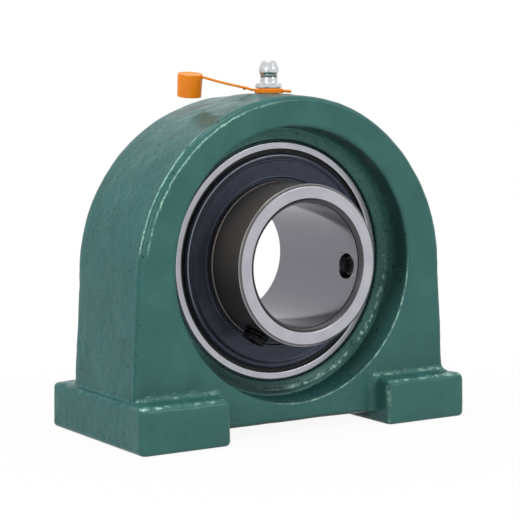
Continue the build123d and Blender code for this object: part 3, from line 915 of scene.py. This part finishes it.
# The line along which the body meets a foot, with the directions out of the body and out of
# the foot at each point: up the foot's inner side, over its edge, round the body, and down.
def rootLine(side):
    c = casting
    inner, edge = c["footSpan"] / 2 - c["footWidth"], c["footEdge"]
    innerTop = inner + c["footLean"]
    edgeMiddle, edgeHeight = innerTop + edge, c["footHeight"] - edge
    flank, lean = c["footSpan"] / 2 - c["ledge"], tan(radians(c["draft"]))
    points, outBody, outFoot = [], [], []

    def addPart(place, fromBody, fromFoot):
        count = max(len(np.atleast_2d(part)) for part in (place, fromBody, fromFoot))
        for store, part in ((points, place), (outBody, fromBody), (outFoot, fromFoot)):
            store.append(np.broadcast_to(np.array(part, float), (count, 3)))

    def line(start, end, step):
        count = int(np.linalg.norm(np.subtract(end, start)) / step) + 1
        return np.linspace(start, end, count, endpoint=False)

    def overEdge(y, way, turn):
        t = np.linspace(*turn, 9)[:-1, None]
        foot = np.hstack([np.cos(t), 0 * t, np.sin(t)])
        addPart([edgeMiddle, y, edgeHeight] + edge * foot, way, foot)

    def roundCorner(x, y, radius, turn):
        t = np.linspace(*turn, 9)[:-1, None]
        body = np.hstack([np.cos(t), np.sin(t), 0 * t])
        addPart([x, y, c["footHeight"]] + radius * body, body, [0, 0, 1])

    forward, backward, outward, inward, upward = (
        (0, -1, 0), (0, 1, 0), (1, 0, 0), (-1, 0, 0), (0, 0, 1),
    )
    top, front, back = c["footHeight"], c["front"], c["back"]
    lowest = c["relief"] + 0.15
    frontFlank, backFlank = front + c["frontEdge"], back - c["backEdge"]
    narrow = flank - (backFlank - frontFlank) * lean
    frontCorner, backCorner = flank - c["frontEdge"], narrow - c["backEdge"]
    rise = line([inner, front, lowest], [innerTop, front, edgeHeight], 0.7)
    addPart(rise, forward, inward)
    overEdge(front, forward, (pi, pi / 2))
    addPart(line([edgeMiddle, front, top], [frontCorner, front, top], 0.5), forward, upward)
    roundCorner(frontCorner, frontFlank, c["frontEdge"], (-pi / 2, 0))
    addPart(line([flank, frontFlank, top], [narrow, backFlank, top], 0.5), outward, upward)
    roundCorner(backCorner, backFlank, c["backEdge"], (0, pi / 2))
    addPart(line([backCorner, back, top], [edgeMiddle, back, top], 0.6), backward, upward)
    overEdge(back, backward, (pi / 2, pi))
    fall = line([innerTop, back, edgeHeight], [inner, back, lowest], 0.7)
    addPart(fall, backward, inward)
    return [np.concatenate(store) * [side, 1, 1] for store in (points, outBody, outFoot)]


# The casting's concave roots: an arc of radius R is carried along the root line. At angle t
# it lies R - r cos t out of the body and R - r sin t out of the foot, and the section closes
# inside both.
def makeRoot(name, side):
    points, outBody, outFoot = rootLine(side)
    small, large = casting["ledgeRoot"], casting["root"]
    radius = small + (large - small) * outBody[:, 1:2] ** 2
    t = quarter(11)
    arc, inside = radius + 0.05, -0.6 + 0 * radius
    fromBody = np.hstack([radius - arc * np.cos(t), radius, inside, inside])
    fromFoot = np.hstack([radius - arc * np.sin(t), inside, inside, radius])
    body, foot = outBody[:, None, :], outFoot[:, None, :]
    grid = points[:, None, :] + fromBody[..., None] * body + fromFoot[..., None] * foot
    face = grid[:, :len(t)]
    out = np.cos(t)[:, None] * body + np.sin(t)[:, None] * foot
    onFront = (outBody[:, 1:2] < -0.9) * np.cos(t)
    lumps = 0.24 * randomSkin(face, 1.7, 9) * np.sin(2 * t) * (0.5 + radius / 3)
    skin = castUnevenness(face, 0.95 - 0.67 * onFront) + lumps
    grid[:, :len(t)] = face + out * skin[..., None]
    return gridPiece(name, grid, [grid[0].mean(0), grid[-1].mean(0)])


def makeHousing():
    c = casting
    body = makeBody()
    print("body surface made")
    feet = [makeFoot("footLeft", -1), makeFoot("footRight", 1)]
    roots = [makeRoot("rootLeft", -1), makeRoot("rootRight", 1)]
    combined(body, feet + roots, "UNION")
    print("feet joined")
    cutters = [makeSlotCutter()]
    for side in (-1, 1):
        place = np.array([side * c["boltSpacing"] / 2, 0, 0])
        ends = (c["boltFrom"], c["boltDepth"])
        thread = (c["boltCore"], c["boltThread"], c["boltPitch"])
        bolt = threadedRod(f"boltCutter{side + 1}", place, *ends, *thread, 3.0)
        mouth = uprightRod(f"mouthCutter{side + 1}", place, c["boltMouth"])
        cutters += [bolt, mouth]
    place = np.array([0, c["bossPlace"], 0])
    step = c["bossHeight"] - c["nippleDepth"]
    narrow, wide = c["greaseWay"], c["nippleHole"]
    top = c["bossHeight"] + 3
    way = [(c["greaseFrom"], narrow), (step, narrow), (step, wide), (top, wide)]
    cutters.append(uprightRod("greaseCutter", place, way))
    combined(body, cutters, "DIFFERENCE")
    print("holes cut,", sum(len(face.vertices) - 2 for face in body.data.polygons), "triangles")
    return crisp(body, 42)


highlightLines = dict(  # widths in mm
    ridge=0.2, mouth=0.14, lip=0.3, footEdge=0.3, footRoot=0.35, waver=0.16,
    aboveMiddle=(50, 56), wallEnd=(82, 88), faceEnd=(-20, 0), postFront=-25.4, postTop=11.5,
)


# Painted highlights for the enamel's mask: broken pale lines on the two ridges of the front
# edge, on the mouth and the lip of the recess, and glints on the feet's edges and roots.
def paintedHighlightMask(points, angle, across, fromMouth):
    c, t = casting, highlightLines
    x, y, z = points.T
    front, top = c["front"], c["footHeight"]
    inset = outlineReach(angle, 0, 0) - across
    coarse, fine = randomSkin(points, 2.4, 5), randomSkin(points, 0.8, 6)
    broken = smoothStep(coarse + 0.5 * fine, -1.0, 0.3)
    waver = t["waver"] * randomSkin(points, 1.3, 7)
    aboveMiddle = smoothStep(z, *t["aboveMiddle"])
    faceLine = bell(inset - c["frontEdge"] + waver, t["ridge"]) * (y < front + 0.3)
    faceLine *= aboveMiddle * (1 - smoothStep(x, *t["faceEnd"]))
    wallLine = bell(y - front - c["frontEdge"] + waver, t["ridge"]) * (inset < 0.4)
    wallLine *= aboveMiddle * (1 - smoothStep(z, *t["wallEnd"])) * (x < 0)
    low = smoothStep(-np.sin(angle - 0.1), 0.02, 0.3) * smoothStep(np.cos(angle), -0.3, 0.1)
    mouthLine = bell(fromMouth - 0.25, t["mouth"]) * (y < front + 0.7) * low
    flecks = smoothStep(randomSkin(points, 0.9, 8), -0.15, 0.4)
    lipLine = bell(across - c["lip"] + 1.6 * waver, t["lip"]) * (y > -12) * (y < -9.8)
    lipLine *= low * flecks
    onEdge = bell(z - top + 0.35 + waver, t["footEdge"])
    onEdge *= y < 0.4 - c["footDepth"] / 2 + c["footEdge"]
    onRoot = bell(z - top - 0.75 + waver, t["footRoot"]) * (np.abs(y - front + 0.35) < 0.7)
    onRoot *= np.abs(x) > 26
    fromInner = x - c["footSpan"] / 2 + c["footWidth"]
    onPost = bell(fromInner - 0.6 + waver, t["footRoot"])
    onPost *= (y < t["postFront"]) * (z < t["postTop"])
    dashes = 0.12 + 0.6 * smoothStep(randomSkin(points, 1.0, 15), -0.1, 0.6)
    glints = (onEdge + 0.8 * onRoot + 0.7 * onPost) * dashes
    return (faceLine + wallLine + 0.8 * mouthLine) * broken + 1.3 * lipLine + glints


hollows = dict(  # how dark each place is, from 0 to 1
    seat=0.95, upperWall=0.62, lowerWall=0.4, floor=0.68, under=0.8, between=0.3,
)


# Hollow is painted shade where light hardly reaches: the seat, parts of the recess, and the
# faces turned down and inwards between the feet. The cast skin covers all but the front face,
# and the share of a surface that faces away from the Y axis, outside the recess, says where the
# darker, bluer green is painted as shade.
def maskHousing(body):
    c, dark = casting, hollows
    points = meshPoints(body)
    x, y, z = points.T
    normals = np.zeros(points.size, np.float32)
    body.data.vertices.foreach_get("normal", normals)
    normals = normals.reshape(-1, 3)
    angle = np.arctan2(z - axisHeight, x)
    across = np.hypot(x, z - axisHeight)
    shiftX, shiftZ = c["mouthShift"]
    fromMouth = np.hypot(x - shiftX, z - axisHeight - shiftZ) - c["mouth"]
    onFloor = (across > 34.9) * (across < c["floor"]) * (y < -9.9) * (y > -12.3)
    # The painted highlights, plus a faint painted light on the recess floor.
    highlight = paintedHighlightMask(points, angle, across, fromMouth) + 0.06 * onFloor
    setMask(body, "paintedHighlight", np.clip(highlight, 0, 1))

    inSeat = (across < 36.3) * smoothStep(y, -9.9, -9.4)
    onWall = smoothStep(fromMouth, -1.1, -0.6) * (fromMouth < 0.9) * (y < -10)
    upper = smoothStep(np.sin(angle), -0.45, 0.0)
    nearMouth = smoothStep(-y, 12.0, 15.5) * (1 - 0.75 * smoothStep(-y, 18.6, 19.5))
    nearFloor = 1 - smoothStep(-y, 12.0, 17.0)
    lowLeft = smoothStep(-np.sin(angle), 0.5, 0.85) * smoothStep(-np.cos(angle), -0.35, 0.1)
    upperShade = dark["upperWall"] * upper * nearMouth
    lowerShade = dark["lowerWall"] * (1 - upper) * nearFloor
    shade = onWall * (upperShade + lowerShade) + dark["floor"] * onFloor * lowLeft
    under = smoothStep(-normals[:, 2], 0.3, 0.8) * (np.abs(x) < 27) * (z < 8)
    inwards = -normals[:, 0] * np.sign(x)
    between = smoothStep(inwards, 0.5, 0.9) * (np.abs(x) < 28) * (z < 12.5)
    hollow = np.maximum(inSeat * dark["seat"], shade)
    hollow = hollow + dark["under"] * under + dark["between"] * between
    setMask(body, "hollow", np.clip(hollow, 0, 1))

    onFace = smoothStep(-y, -c["front"] - 0.4, -c["front"] - 0.05)
    setMask(body, "castSkin", np.where(inSeat > 0.5, 0.1, 1 - 0.8 * onFace))
    inRecess = (across < c["mouth"] + 1) & (z > 14)
    # Painted shade: faces that turn sideways get the darker, bluer green.
    sideShade = 1 - smoothStep(np.abs(normals[:, 1]), 0.3, 0.8)
    sideShade *= np.where(y < c["front"] + 1, 0.35, 1)
    setMask(body, "sideShade", np.where(inRecess, 0, sideShade))


housingCasting = makeHousing()
housingCasting.name = "housing_casting"
maskHousing(housingCasting)
finishPiece(housingCasting, greenPaint, "housing", ["housing"])
print("housing done")


# ---- bearing rings ----

rings = dict(
    sphere=35.95, outerHalf=10.0, chamfer=0.75, outerFace=33.75, sealBore=31.95, sealSeat=2.8,
    land=30.2, groove=5.778, innerFront=-25.4, innerBack=17.5, outside=23.1, collar=22.75,
    bore=17.5, pitch=26.75, ball=5.556, ballRoom=0.02,
    ballCount=9, screwPlaces=(-5.0, 235.0), screwSetback=6.6,
    holeEnds=(14.0, 26.0), holeCore=3.45, holeThread=0.5, holePitch=1.0,
)


# Outer ring: sphere r = sqrt(R^2 - y^2) outside, ground faces, seal seats and a ball race.
def makeOuterRing():
    c = rings
    half, seat = c["outerHalf"], c["outerHalf"] - c["sealSeat"]
    chamfer = half - c["chamfer"]
    sphere = [(y, sqrt(c["sphere"] ** 2 - y**2)) for y in np.linspace(-chamfer, chamfer, 40)]
    centre = c["pitch"] + c["ball"] + c["ballRoom"] - c["groove"]
    width = sqrt(c["groove"] ** 2 - (c["land"] - centre) ** 2)
    race = [(y, centre + sqrt(c["groove"] ** 2 - y**2)) for y in np.linspace(width, -width, 24)]
    front = rounded([
        (-seat, c["land"], 0.15), (-seat, c["sealBore"], 0.2), (-half, c["sealBore"], 0.3),
        (-half, c["outerFace"], 0.12), (-chamfer, sphere[0][1], 0.0),
    ], closed=False)
    back = front[::-1] * [-1, 1]
    profile = np.vstack([front, sphere[1:-1], back, race])
    return gridPiece("outer_ring_steel", turnedOnAxis(profile, 288))


outerRing = crisp(makeOuterRing(), 38)
finishPiece(outerRing, ringSteel, "insert_outer", ["outer_ring"])


# Inner ring: one turned profile with a ball race, then two tapped holes through its collar.
def makeInnerRing():
    c = rings
    front, back, outside, bore = c["innerFront"], c["innerBack"], c["outside"], c["bore"]
    collar = c["collar"]
    centre = c["pitch"] - c["ball"] - c["ballRoom"] + c["groove"]
    width = sqrt(c["groove"] ** 2 - (centre - outside) ** 2)
    places = np.linspace(-width, width, 24)
    race = [(y, centre - sqrt(c["groove"] ** 2 - y**2), 0) for y in places]
    profile = rounded([
        (front, bore + 1.35, 0.08), (front, collar - 0.85, 0.06), (front + 0.13, collar - 0.67, 0),
        (front + 0.42, collar - 0.25, 0), (front + 0.6, collar, 0.1),
        (-11.3, collar, 0.1), (-11.1, outside, 0.1), *race,
        (back - 1.0, outside, 0.25), (back, outside - 1.0, 0.2), (back, bore + 1.15, 0.15),
        (back - 1.15, bore, 0.15), (front + 1.3, bore, 0.1), (front + 1.0, bore + 0.12, 0.05),
        (front + 0.75, bore + 0.6, 0.08),
    ])
    ring = gridPiece("inner_ring_steel", turnedOnAxis(profile, 432))
    thread = (c["holeCore"], c["holeThread"], c["holePitch"])
    origin = np.array([0, front + c["screwSetback"], axisHeight])
    cutters = []
    for number, degrees in enumerate(c["screwPlaces"]):
        way = np.array([cos(radians(degrees)), 0, sin(radians(degrees))])
        ends = c["holeEnds"]
        cutter = threadedRod(f"screwCutter{number}", np.zeros(3), *ends, *thread, 0.0, 64)
        setPoints(cutter.data, placed(meshPoints(cutter), origin, (0, 1, 0), way))
        cutters.append(cutter)
    return crisp(combined(ring, cutters, "DIFFERENCE"), 35)


innerRing = makeInnerRing()


# Masks for the inner ring's finishes: dark oxide outside, worn off its edges and painted paler
# towards the upper left as a sheen, ground faces, honed bore, and painted shade in the holes and
# on the bore's edge.
def maskInnerRing(ring):
    c = rings
    x, y, z = meshPoints(ring).T
    across = np.hypot(x, z - axisHeight)
    place = y - c["innerFront"]
    outside = across > c["collar"] - 0.1
    worn = np.clip(0.9 * bell(place - 0.6, 0.14) + 0.3 * bell(y + 11.25, 0.12), 0, 1)
    inHole = (np.abs(place - c["screwSetback"]) < 4.4) & (across > c["bore"] + 0.1)
    onSide = smoothStep(place, 0.02, 0.1) * (across > c["collar"] - 0.9) * (1 - worn)
    nearBore = (across > c["bore"] + 0.05) * (across < c["bore"] + 2)
    onEdge = 0.75 * smoothStep(place, 0.03, 0.15) * nearBore
    setMask(ring, "oxide", np.maximum(np.maximum(onSide, inHole), onEdge))
    # Painted shade: the holes and the bore's edge are painted near-black.
    setMask(ring, "inHole", np.maximum(inHole & (across < c["collar"] - 0.1), 0.85 * onEdge))
    # Painted sheen: the oxide is painted paler towards the upper left.
    upperLeft = smoothStep(z - axisHeight - x, 14, 32)
    setMask(ring, "upperLeftSheen", 0.7 * upperLeft * outside * (y < -11.0))
    setMask(ring, "honed", (across < c["bore"] + 0.1).astype(float))


maskInnerRing(innerRing)


# The pale oxide tone is a painted sheen, and the near-black tone is painted shade.
innerTones = dict(
    ground=((182, 182, 189), (168, 168, 176)), honed=(118, 117, 124), oxide=(82, 77, 76),
    upperLeftSheen=(132, 125, 117), inHole=(14, 15, 18),
)


def makeInnerSteel():
    steel = Finish("innerSteel", screenColour(190, 191, 198), 1.0, 0.25)
    first, second = (screenColour(*tone) for tone in innerTones["ground"])
    colour = steel.mixColours(steel.grain(6.0), first, second)
    for name in ("honed", "oxide", "upperLeftSheen", "inHole"):
        colour = steel.mixColours(steel.mask(name), colour, screenColour(*innerTones[name]))
    steel.paint(colour)
    oxide = steel.mask("oxide")
    metal = steel.math("ADD", steel.math("MULTIPLY", oxide, -0.35), 1.0)
    steel.link(metal, steel.shader.inputs["Metallic"])
    outside = steel.mixValues(oxide, steel.toolMarks(0.12, 0.24, 0.34), 0.3)
    bore = steel.toolMarks(0.5, 0.10, 0.17)
    steel.rough(steel.mixValues(steel.mask("honed"), outside, bore))
    bare = steel.math("SUBTRACT", 1.0, oxide)
    steel.bump(steel.math("MULTIPLY", steel.toolMarks(0.15), bare), 0.003)
    return steel.material


finishPiece(innerRing, makeInnerSteel(), "insert_inner", ["inner_ring"])
print("rings done")


# ---- slingers ----

slinger = dict(face=10.5, dish=10.0, under=0.8, hub=23.12, gap=0.75, gapDepth=0.45, rim=31.0)


# A pressed disc: rolled rim, flat web, and a bore edge turned back to leave a dark gap. Its
# mask paints a highlight in two thin arcs at the upper left, on the rim and at its foot.
def makeSlinger(name, direction):
    c = slinger
    face, dish, hub, rim = c["face"], c["dish"], c["hub"], c["rim"]
    lip, under, gapFloor = hub + c["gap"], dish - c["under"], dish - c["gapDepth"]
    outline = [
        (under, hub, 0.1), (under, rim - 1.6, 0.3), (face - 1.3, rim - 0.8, 0.2),
        (face - 0.9, rim, 0.25), (face, rim - 0.7, 0.35), (face, rim - 1.5, 0.3),
        (dish + 0.05, rim - 2.2, 0.3), (dish, rim - 2.6, 0.2), (dish, lip + 0.35, 0.15),
        (dish + 0.12, lip + 0.15, 0.1), (gapFloor, lip, 0.1), (gapFloor, hub, 0.1),
    ]
    turnedWay = [(direction * along, radius, cut) for along, radius, cut in outline]
    profile = rounded(turnedWay, steps=6, near=0.05)
    disc = crisp(gridPiece(name, turnedOnAxis(profile, 240)), 50)
    x, y, z = meshPoints(disc).T
    up = z - axisHeight
    across = np.hypot(x, up)
    lines = bell(across - rim + 0.75, 0.12) + 0.8 * bell(across - rim + 1.95, 0.1)
    onFace = direction * y > dish - 0.1
    setMask(disc, "highlightArcs", np.clip(0.75 * lines * smoothStep(up - x, 6, 30) * onFace, 0, 1))
    return disc


for label, direction in (("front", -1), ("back", 1)):
    disc = makeSlinger(f"slinger_{label}_disc", direction)
    finishPiece(disc, darkSlinger, "insert_inner", [f"slinger_{label}"])


# ---- set screws ----

screw = dict(
    radius=3.8, core=3.12, pitch=1.0, length=7.0, tip=18.4, cup=2.25, cupDepth=0.9,
    keyWidth=4.0, keyDepth=3.0,
)


# Socket set screw. Rows run from the cup up the threaded side to the rim and down the
# hexagonal socket; on the side r = core + thread * ridge, fading out at both ends.
def makeSetScrew(number, degrees):
    c = screw
    length, keyFoot = c["length"], c["length"] - c["keyDepth"]
    angle = circle(96)
    rows = []

    def addRow(radius, height):
        rows.append(polar(radius, angle, height))

    for radius, height in (
        (0.4, 0.82), (1.2, 0.55), (1.9, 0.2), (c["cup"], 0.0), (2.6, 0.0), (2.9, 0.12),
    ):
        addRow(radius, height)
    for height in np.arange(0.3, length - 0.25, c["pitch"] / 10):
        ridge = np.clip(threadRidge(height, angle, c["pitch"]) * 1.2, 0, 1)
        fade = max(min(1.0, (height - 0.2) / 0.7, (length - 0.1 - height) / 0.7), 0)
        addRow(c["core"] + (c["radius"] - c["core"]) * ridge * fade, height)
    addRow(3.0, length - 0.06)
    addRow(2.85, length)
    hexagon = hexagonReach(angle, c["keyWidth"])
    addRow(hexagon + 0.15, length)
    for height in (length - 0.15, length - 0.6, length - 2.0, keyFoot):
        addRow(hexagon, height)
    addRow(hexagon * 0.5, keyFoot - 0.2)
    way = np.array([cos(radians(degrees)), 0, sin(radians(degrees))])
    place = np.array([0, rings["innerFront"] + rings["screwSetback"], axisHeight])
    screwFrame = (place + way * c["tip"], (0, 1, 0), way)
    poles = np.array([[0, 0, c["cupDepth"]], [0, 0, keyFoot - 0.35]])
    grid = placed(np.stack(rows), *screwFrame)
    piece = gridPiece(f"set_screw_{number}_threaded", grid, placed(poles, *screwFrame))
    crisp(piece, 40)
    finishPiece(piece, blackOxide, f"set_screw_{number}", [f"set_screw_{number}"])


for number, degrees in enumerate(rings["screwPlaces"], 1):
    makeSetScrew(number, degrees)
print("insert done")


# ---- grease nipple ----

nippleFoot = np.array([0.0, casting["bossPlace"], 0.0])
nipple = dict(
    seat=95.1, threadFoot=89.8, threadPitch=0.9, threadCore=2.72, threadRise=0.42, collar=3.05,
    hexBottom=96.7, hexHeight=1.4, flats=7.0, hexTurn=16.8,
    neckHeight=99.7, tip=104.5, groove=2.4, band=2.85,
)


# One surface from the thread up over the hexagon, shank, neck and head and into the mouth.
# In the hexagon's rows r is the smaller of a chamfering cone and the hexagon's own reach.
def makeNipple():
    c = nipple
    bottom, neck, band, groove = c["hexBottom"], c["neckHeight"], c["band"], c["groove"]
    shank = bottom + c["hexHeight"]
    angle = circle(144)
    rows = []

    def addRow(radius, height):
        rows.append(polar(radius, angle, height) + nippleFoot)

    for height in np.arange(c["threadFoot"], bottom - 0.05, 0.1):
        if height > c["seat"] - 0.1:
            addRow(c["collar"], height)
        else:
            ridge = threadRidge(height, angle, c["threadPitch"])
            rise = c["threadRise"] * ridge * min(1, (height - c["threadFoot"] + 0.1) / 0.9)
            addRow(c["threadCore"] + rise, height)
    addRow(3.2, bottom)
    hexagon = hexagonReach(angle - radians(c["hexTurn"]), c["flats"])
    for cone, height in (
        (3.6, 0.0), (3.92, 0.16), (4.1, 0.3), (4.1, 0.9), (4.02, 1.08), (3.7, 1.3), (3.45, 1.4),
    ):
        addRow(np.minimum(hexagon, cone), bottom + height)
    for radius, height in (
        (3.0, shank + 0.01), (2.7, shank + 0.03), (2.56, shank + 0.12), (2.52, shank + 0.3),
        (2.5, shank + 0.8), (2.46, neck - 0.25), (2.43, neck - 0.05), (2.36, neck + 0.08),
        (groove + 0.04, neck + 0.2), (groove, neck + 0.32), (groove + 0.05, neck + 0.48),
        (2.36, neck + 0.7), (2.55, neck + 0.98), (2.72, neck + 1.25), (2.81, neck + 1.45),
        (band, neck + 1.65), (band, neck + 1.8), (band, neck + 2.45), (band - 0.02, neck + 2.6),
        (band - 0.09, neck + 2.78), (2.52, neck + 3.4), (2.25, neck + 4.0), (2.1, neck + 4.35),
        (1.98, neck + 4.55), (1.82, neck + 4.7), (1.62, neck + 4.78), (1.45, neck + 4.8),
        (1.2, neck + 4.8), (1.06, neck + 4.77), (0.98, neck + 4.66), (0.85, neck + 4.45),
        (0.74, neck + 4.3), (0.7, neck + 4.1), (0.68, neck + 3.9),
    ):
        addRow(radius, height)
    poles = nippleFoot + [[0, 0, c["threadFoot"]], [0, 0, c["tip"] - 1.2]]
    piece = crisp(gridPiece("grease_nipple_body", np.stack(rows), poles), 32)
    x, y, height = (meshPoints(piece) - nippleFoot).T
    # Painted shade: darker in the neck's groove, under the hexagon and in the mouth.
    creaseShade = bell(height - neck - 0.35, 0.35) + bell(height - bottom, 0.15)
    creaseShade += bell(height - c["tip"] + 0.5, 0.4) * (np.hypot(x, y) < 1.1)
    setMask(piece, "creaseShade", np.clip(creaseShade, 0, 1))
    return piece


# The darkest tone is painted shade in the nipple's groove, under its hexagon and in its mouth.
zincTones = dict(pale=(214, 217, 219), grey=(186, 192, 196), creaseShade=(70, 78, 82))


def makeZincPlate():
    pale, grey, creaseShade = (screenColour(*tone) for tone in zincTones.values())
    zinc = Finish("zincPlate", pale, 1.0, 0.2)
    clouds = zinc.mixColours(zinc.grain(1.2), pale, grey)
    zinc.paint(zinc.mixColours(zinc.mask("creaseShade"), clouds, creaseShade))
    zinc.rough(zinc.grain(0.6, 0.14, 0.3))
    zinc.bump(zinc.grain(0.3), 0.004)
    return zinc.material


finishPiece(makeNipple(), makeZincPlate(), "housing", ["grease_nipple"])


# ---- dust cap, its ring and strap ----

cap = dict(
    direction=145.0, reach=22.4, rise=3.7, sag=0.2, pivotReach=4.75, pivotHeight=96.25,
    radius=3.6, mouth=3.45, wall=0.6, height=6.6, top=1.0, dish=0.14, lean=4.0, roll=9.0,
    ringRadius=4.1, ringHole=3.45, ringHeight=1.4, tabReach=6.45, tabWidth=2.4,
    tabThickness=0.8, lugThickness=0.66, strapWidth=2.2, strapThickness=0.7,
    strapGate=7.0, strapGateDrop=0.4, cupGateTurn=67.0, cupGateDepth=1.75, cupGateRise=0.22,
)
upright = np.array([0, 0, 1.0])
strapWay = np.array([cos(radians(cap["direction"])), sin(radians(cap["direction"])), 0.0])
strapSide = np.cross(upright, strapWay)
ringLow = nipple["seat"] + 0.1


# A bar with a rounded section carried along a line in the strap's upright plane. The line
# holds (reach from the nipple, height) pairs, and share scales the thickness along it.
def roundedBar(name, line, width, thickness, radius, share):
    section = roundedRectangle(width / 2, thickness / 2, radius, 40)[0]
    ahead = np.gradient(line, axis=0)
    ahead /= np.linalg.norm(ahead, axis=1, keepdims=True)
    lift = strapWay * -ahead[:, 1:] + upright * ahead[:, :1]
    middle = nippleFoot + strapWay * line[:, :1] + upright * line[:, 1:]
    across = section[:, 0, None] * strapSide
    raised = section[:, 1, None] * share[:, None, None] * lift[:, None]
    grid = middle[:, None] + across + raised
    return gridPiece(name, grid, [grid[0].mean(0), grid[-1].mean(0)])


# Thickness of a bar's round nose: sqrt(1 - (1 - s / r)^2) at a distance s from its end.
def noseShare(reach, end, radius):
    s = np.clip(np.abs(reach - end) / radius, 0, 1)
    return np.sqrt(np.maximum(1 - (1 - s) ** 2, 0.01))


# The ring: a rounded section turned round the nipple, with a pull tab on one side and a lug
# on the other that holds the strap's bending place.
def makeCapRing():
    c = cap
    low, high, hole, outer = ringLow, ringLow + c["ringHeight"], c["ringHole"], c["ringRadius"]
    outline = [(low, hole, 0.1), (low, outer, 0.3), (high, outer, 0.35), (high, hole, 0.1)]
    profile = rounded(outline, near=0.03)
    ring = gridPiece("cap_ring_moulding", turnedUpright(profile, 120) + nippleFoot)
    inside = 3.75  # tab and lug start inside the ring's wall
    reach = np.linspace(-inside, -c["tabReach"], 24)
    line = np.stack([reach, low + 0.75 - 0.08 * (-inside - reach)], -1)
    nose = noseShare(reach, -c["tabReach"] - 0.02, 0.4)
    tab = roundedBar("capTab", line, c["tabWidth"], c["tabThickness"], 0.3, nose)
    reach = np.linspace(inside, c["pivotReach"] + 0.28, 16)
    line = np.stack([reach, c["pivotHeight"] + 0 * reach], -1)
    nose = noseShare(reach, reach[-1] + 0.01, 0.33)
    lug = roundedBar("capLug", line, c["strapWidth"], c["lugThickness"], 0.25, nose)
    combined(ring, [tab, lug], "UNION")
    return crisp(ring, 40)


# The strap is a gentle arc: height = low + rise * t - 4 * sag * t * (1 - t), with a round end
# on its bending place and the stub of a gate, a small bell curve, on its underside.
def makeStrap():
    c = cap
    start, end = c["pivotReach"] - 0.34, c["reach"] - c["radius"] + 0.15
    reach = np.linspace(start, end, 110)
    t = (reach - c["pivotReach"]) / (end - c["pivotReach"])
    height = c["pivotHeight"] + c["rise"] * t - 4 * c["sag"] * t * (1 - t)
    height += 0.22 * smoothStep(reach, 4.9, 6.3) * (1 - t)
    nose = noseShare(reach, start - 0.01, 0.34)
    size = (c["strapWidth"], c["strapThickness"], 0.28)
    strap = roundedBar("cap_strap_moulding", np.stack([reach, height], -1), *size, nose)
    points = meshPoints(strap)
    local = points - nippleFoot
    along, side = local @ strapWay, local @ strapSide
    below = local[:, 2] < np.interp(along, reach, height)
    away = (along - c["strapGate"]) ** 2 + side**2
    points[:, 2] -= c["strapGateDrop"] * np.exp(-away / 0.12) * below
    setPoints(strap.data, points)
    return crisp(strap, 40)


# Origin and axis of the cap: its top leans towards the nipple and rolls towards the front.
def capFrame():
    height = cap["pivotHeight"] + cap["rise"] + cap["top"]
    lean, roll = radians(cap["lean"]), radians(cap["roll"])
    axis = np.array([0, 0, cos(lean) * cos(roll)]) - strapWay * sin(lean)
    axis += strapSide * sin(roll) * cos(lean)
    return nippleFoot + strapWay * cap["reach"] + [0, 0, height], axis


# The cup: a rim round the closed top, a wall that narrows a little to the mouth, and the
# hollow inside. The stub of its gate is a small bell curve on the outer wall.
def makeDustCap():
    c = cap
    outer, mouth, height = c["radius"], c["mouth"], c["height"]
    wall, top = c["wall"], c["top"]
    profile = rounded([
        (-c["dish"], 0.3, 0), (-c["dish"], outer - 0.85, 0.12), (0.0, outer - 0.65, 0.08),
        (0.0, outer - 0.05, 0.2), (-1.3, outer, 0.3), (-height, mouth, 0.12),
        (-height, mouth - wall, 0.1), (-top, outer - wall, 0.3), (-top, 0.3, 0),
    ], closed=False, near=0.05)
    # More rows down the wall, which the gate's stub is shaped from.
    extra = np.linspace(-1.6, -height + 0.3, 20)
    narrowing = (mouth - outer) * (-extra - 1.3) / (height - 1.3)
    rows = np.stack([extra, outer + narrowing], -1)[1:]
    at = int(np.argmax(profile[:, 0] < -1.65))
    local = turnedUpright(np.vstack([profile[:at], rows, profile[at:]]), 160)
    x, y, z = np.moveaxis(local, -1, 0)
    across, turn = np.hypot(x, y), np.arctan2(y, x) - radians(c["cupGateTurn"])
    away = (across * turn) ** 2 + (z + c["cupGateDepth"]) ** 2
    raised = c["cupGateRise"] * np.exp(-away / 0.09) * (across > outer - 0.4)
    local[..., :2] *= (1 + raised / outer)[..., None]
    origin, axis = capFrame()
    poles = placed(np.array([[0, 0, -c["dish"]], [0, 0, -top]]), origin, strapWay, axis)
    grid = placed(local, origin, strapWay, axis)
    return crisp(gridPiece("dust_cap_moulding", grid, poles), 40)


finishPiece(makeCapRing(), orangePlastic, "cap_ring", ["cap_ring"])
finishPiece(makeStrap(), orangePlastic, "cap_arm", ["cap_strap"])
finishPiece(makeDustCap(), orangePlastic, "cap_arm", ["dust_cap"])


# The check ball's spring is a round wire along a helix.
spring = dict(foot=96.6, length=5.0, wire=0.25, turns=5, radius=0.95, travel=0.8)


def makeSpring():
    c = spring
    turn = np.linspace(0, 2 * pi * c["turns"], 28 * c["turns"])[:, None]
    wire = circle(10)
    reach = c["radius"] + c["wire"] / 2 * np.cos(wire)
    climb = (c["length"] - 2 * c["wire"]) * turn / (2 * pi * c["turns"])
    height = c["foot"] + c["wire"] + climb + c["wire"] / 2 * np.sin(wire)
    grid = polar(reach, turn, height) + nippleFoot
    return gridPiece("nipple_spring_wire", grid, [grid[0].mean(0), grid[-1].mean(0)])


springWire = finishPiece(makeSpring(), springSteel, "housing", ["nipple_spring"])
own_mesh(springWire)
print("nipple and cap done")


# ---- inner pieces that keep their shape ----

keptMaterials = {
    "cage": cageNylon, "seal_front": sealRubber, "seal_back": sealRubber, "nipple_ball": ballSteel,
    **{f"ball_{k + 1}": ballSteel for k in range(rings["ballCount"])},
}
for node, material in keptMaterials.items():
    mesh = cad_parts[node].data
    mesh.materials.clear()
    mesh.materials.append(material)

scene.view_settings.view_transform = "Standard"
placeCamera()
placeLamps()
setWorld()
placeFloor()


print("scene done")
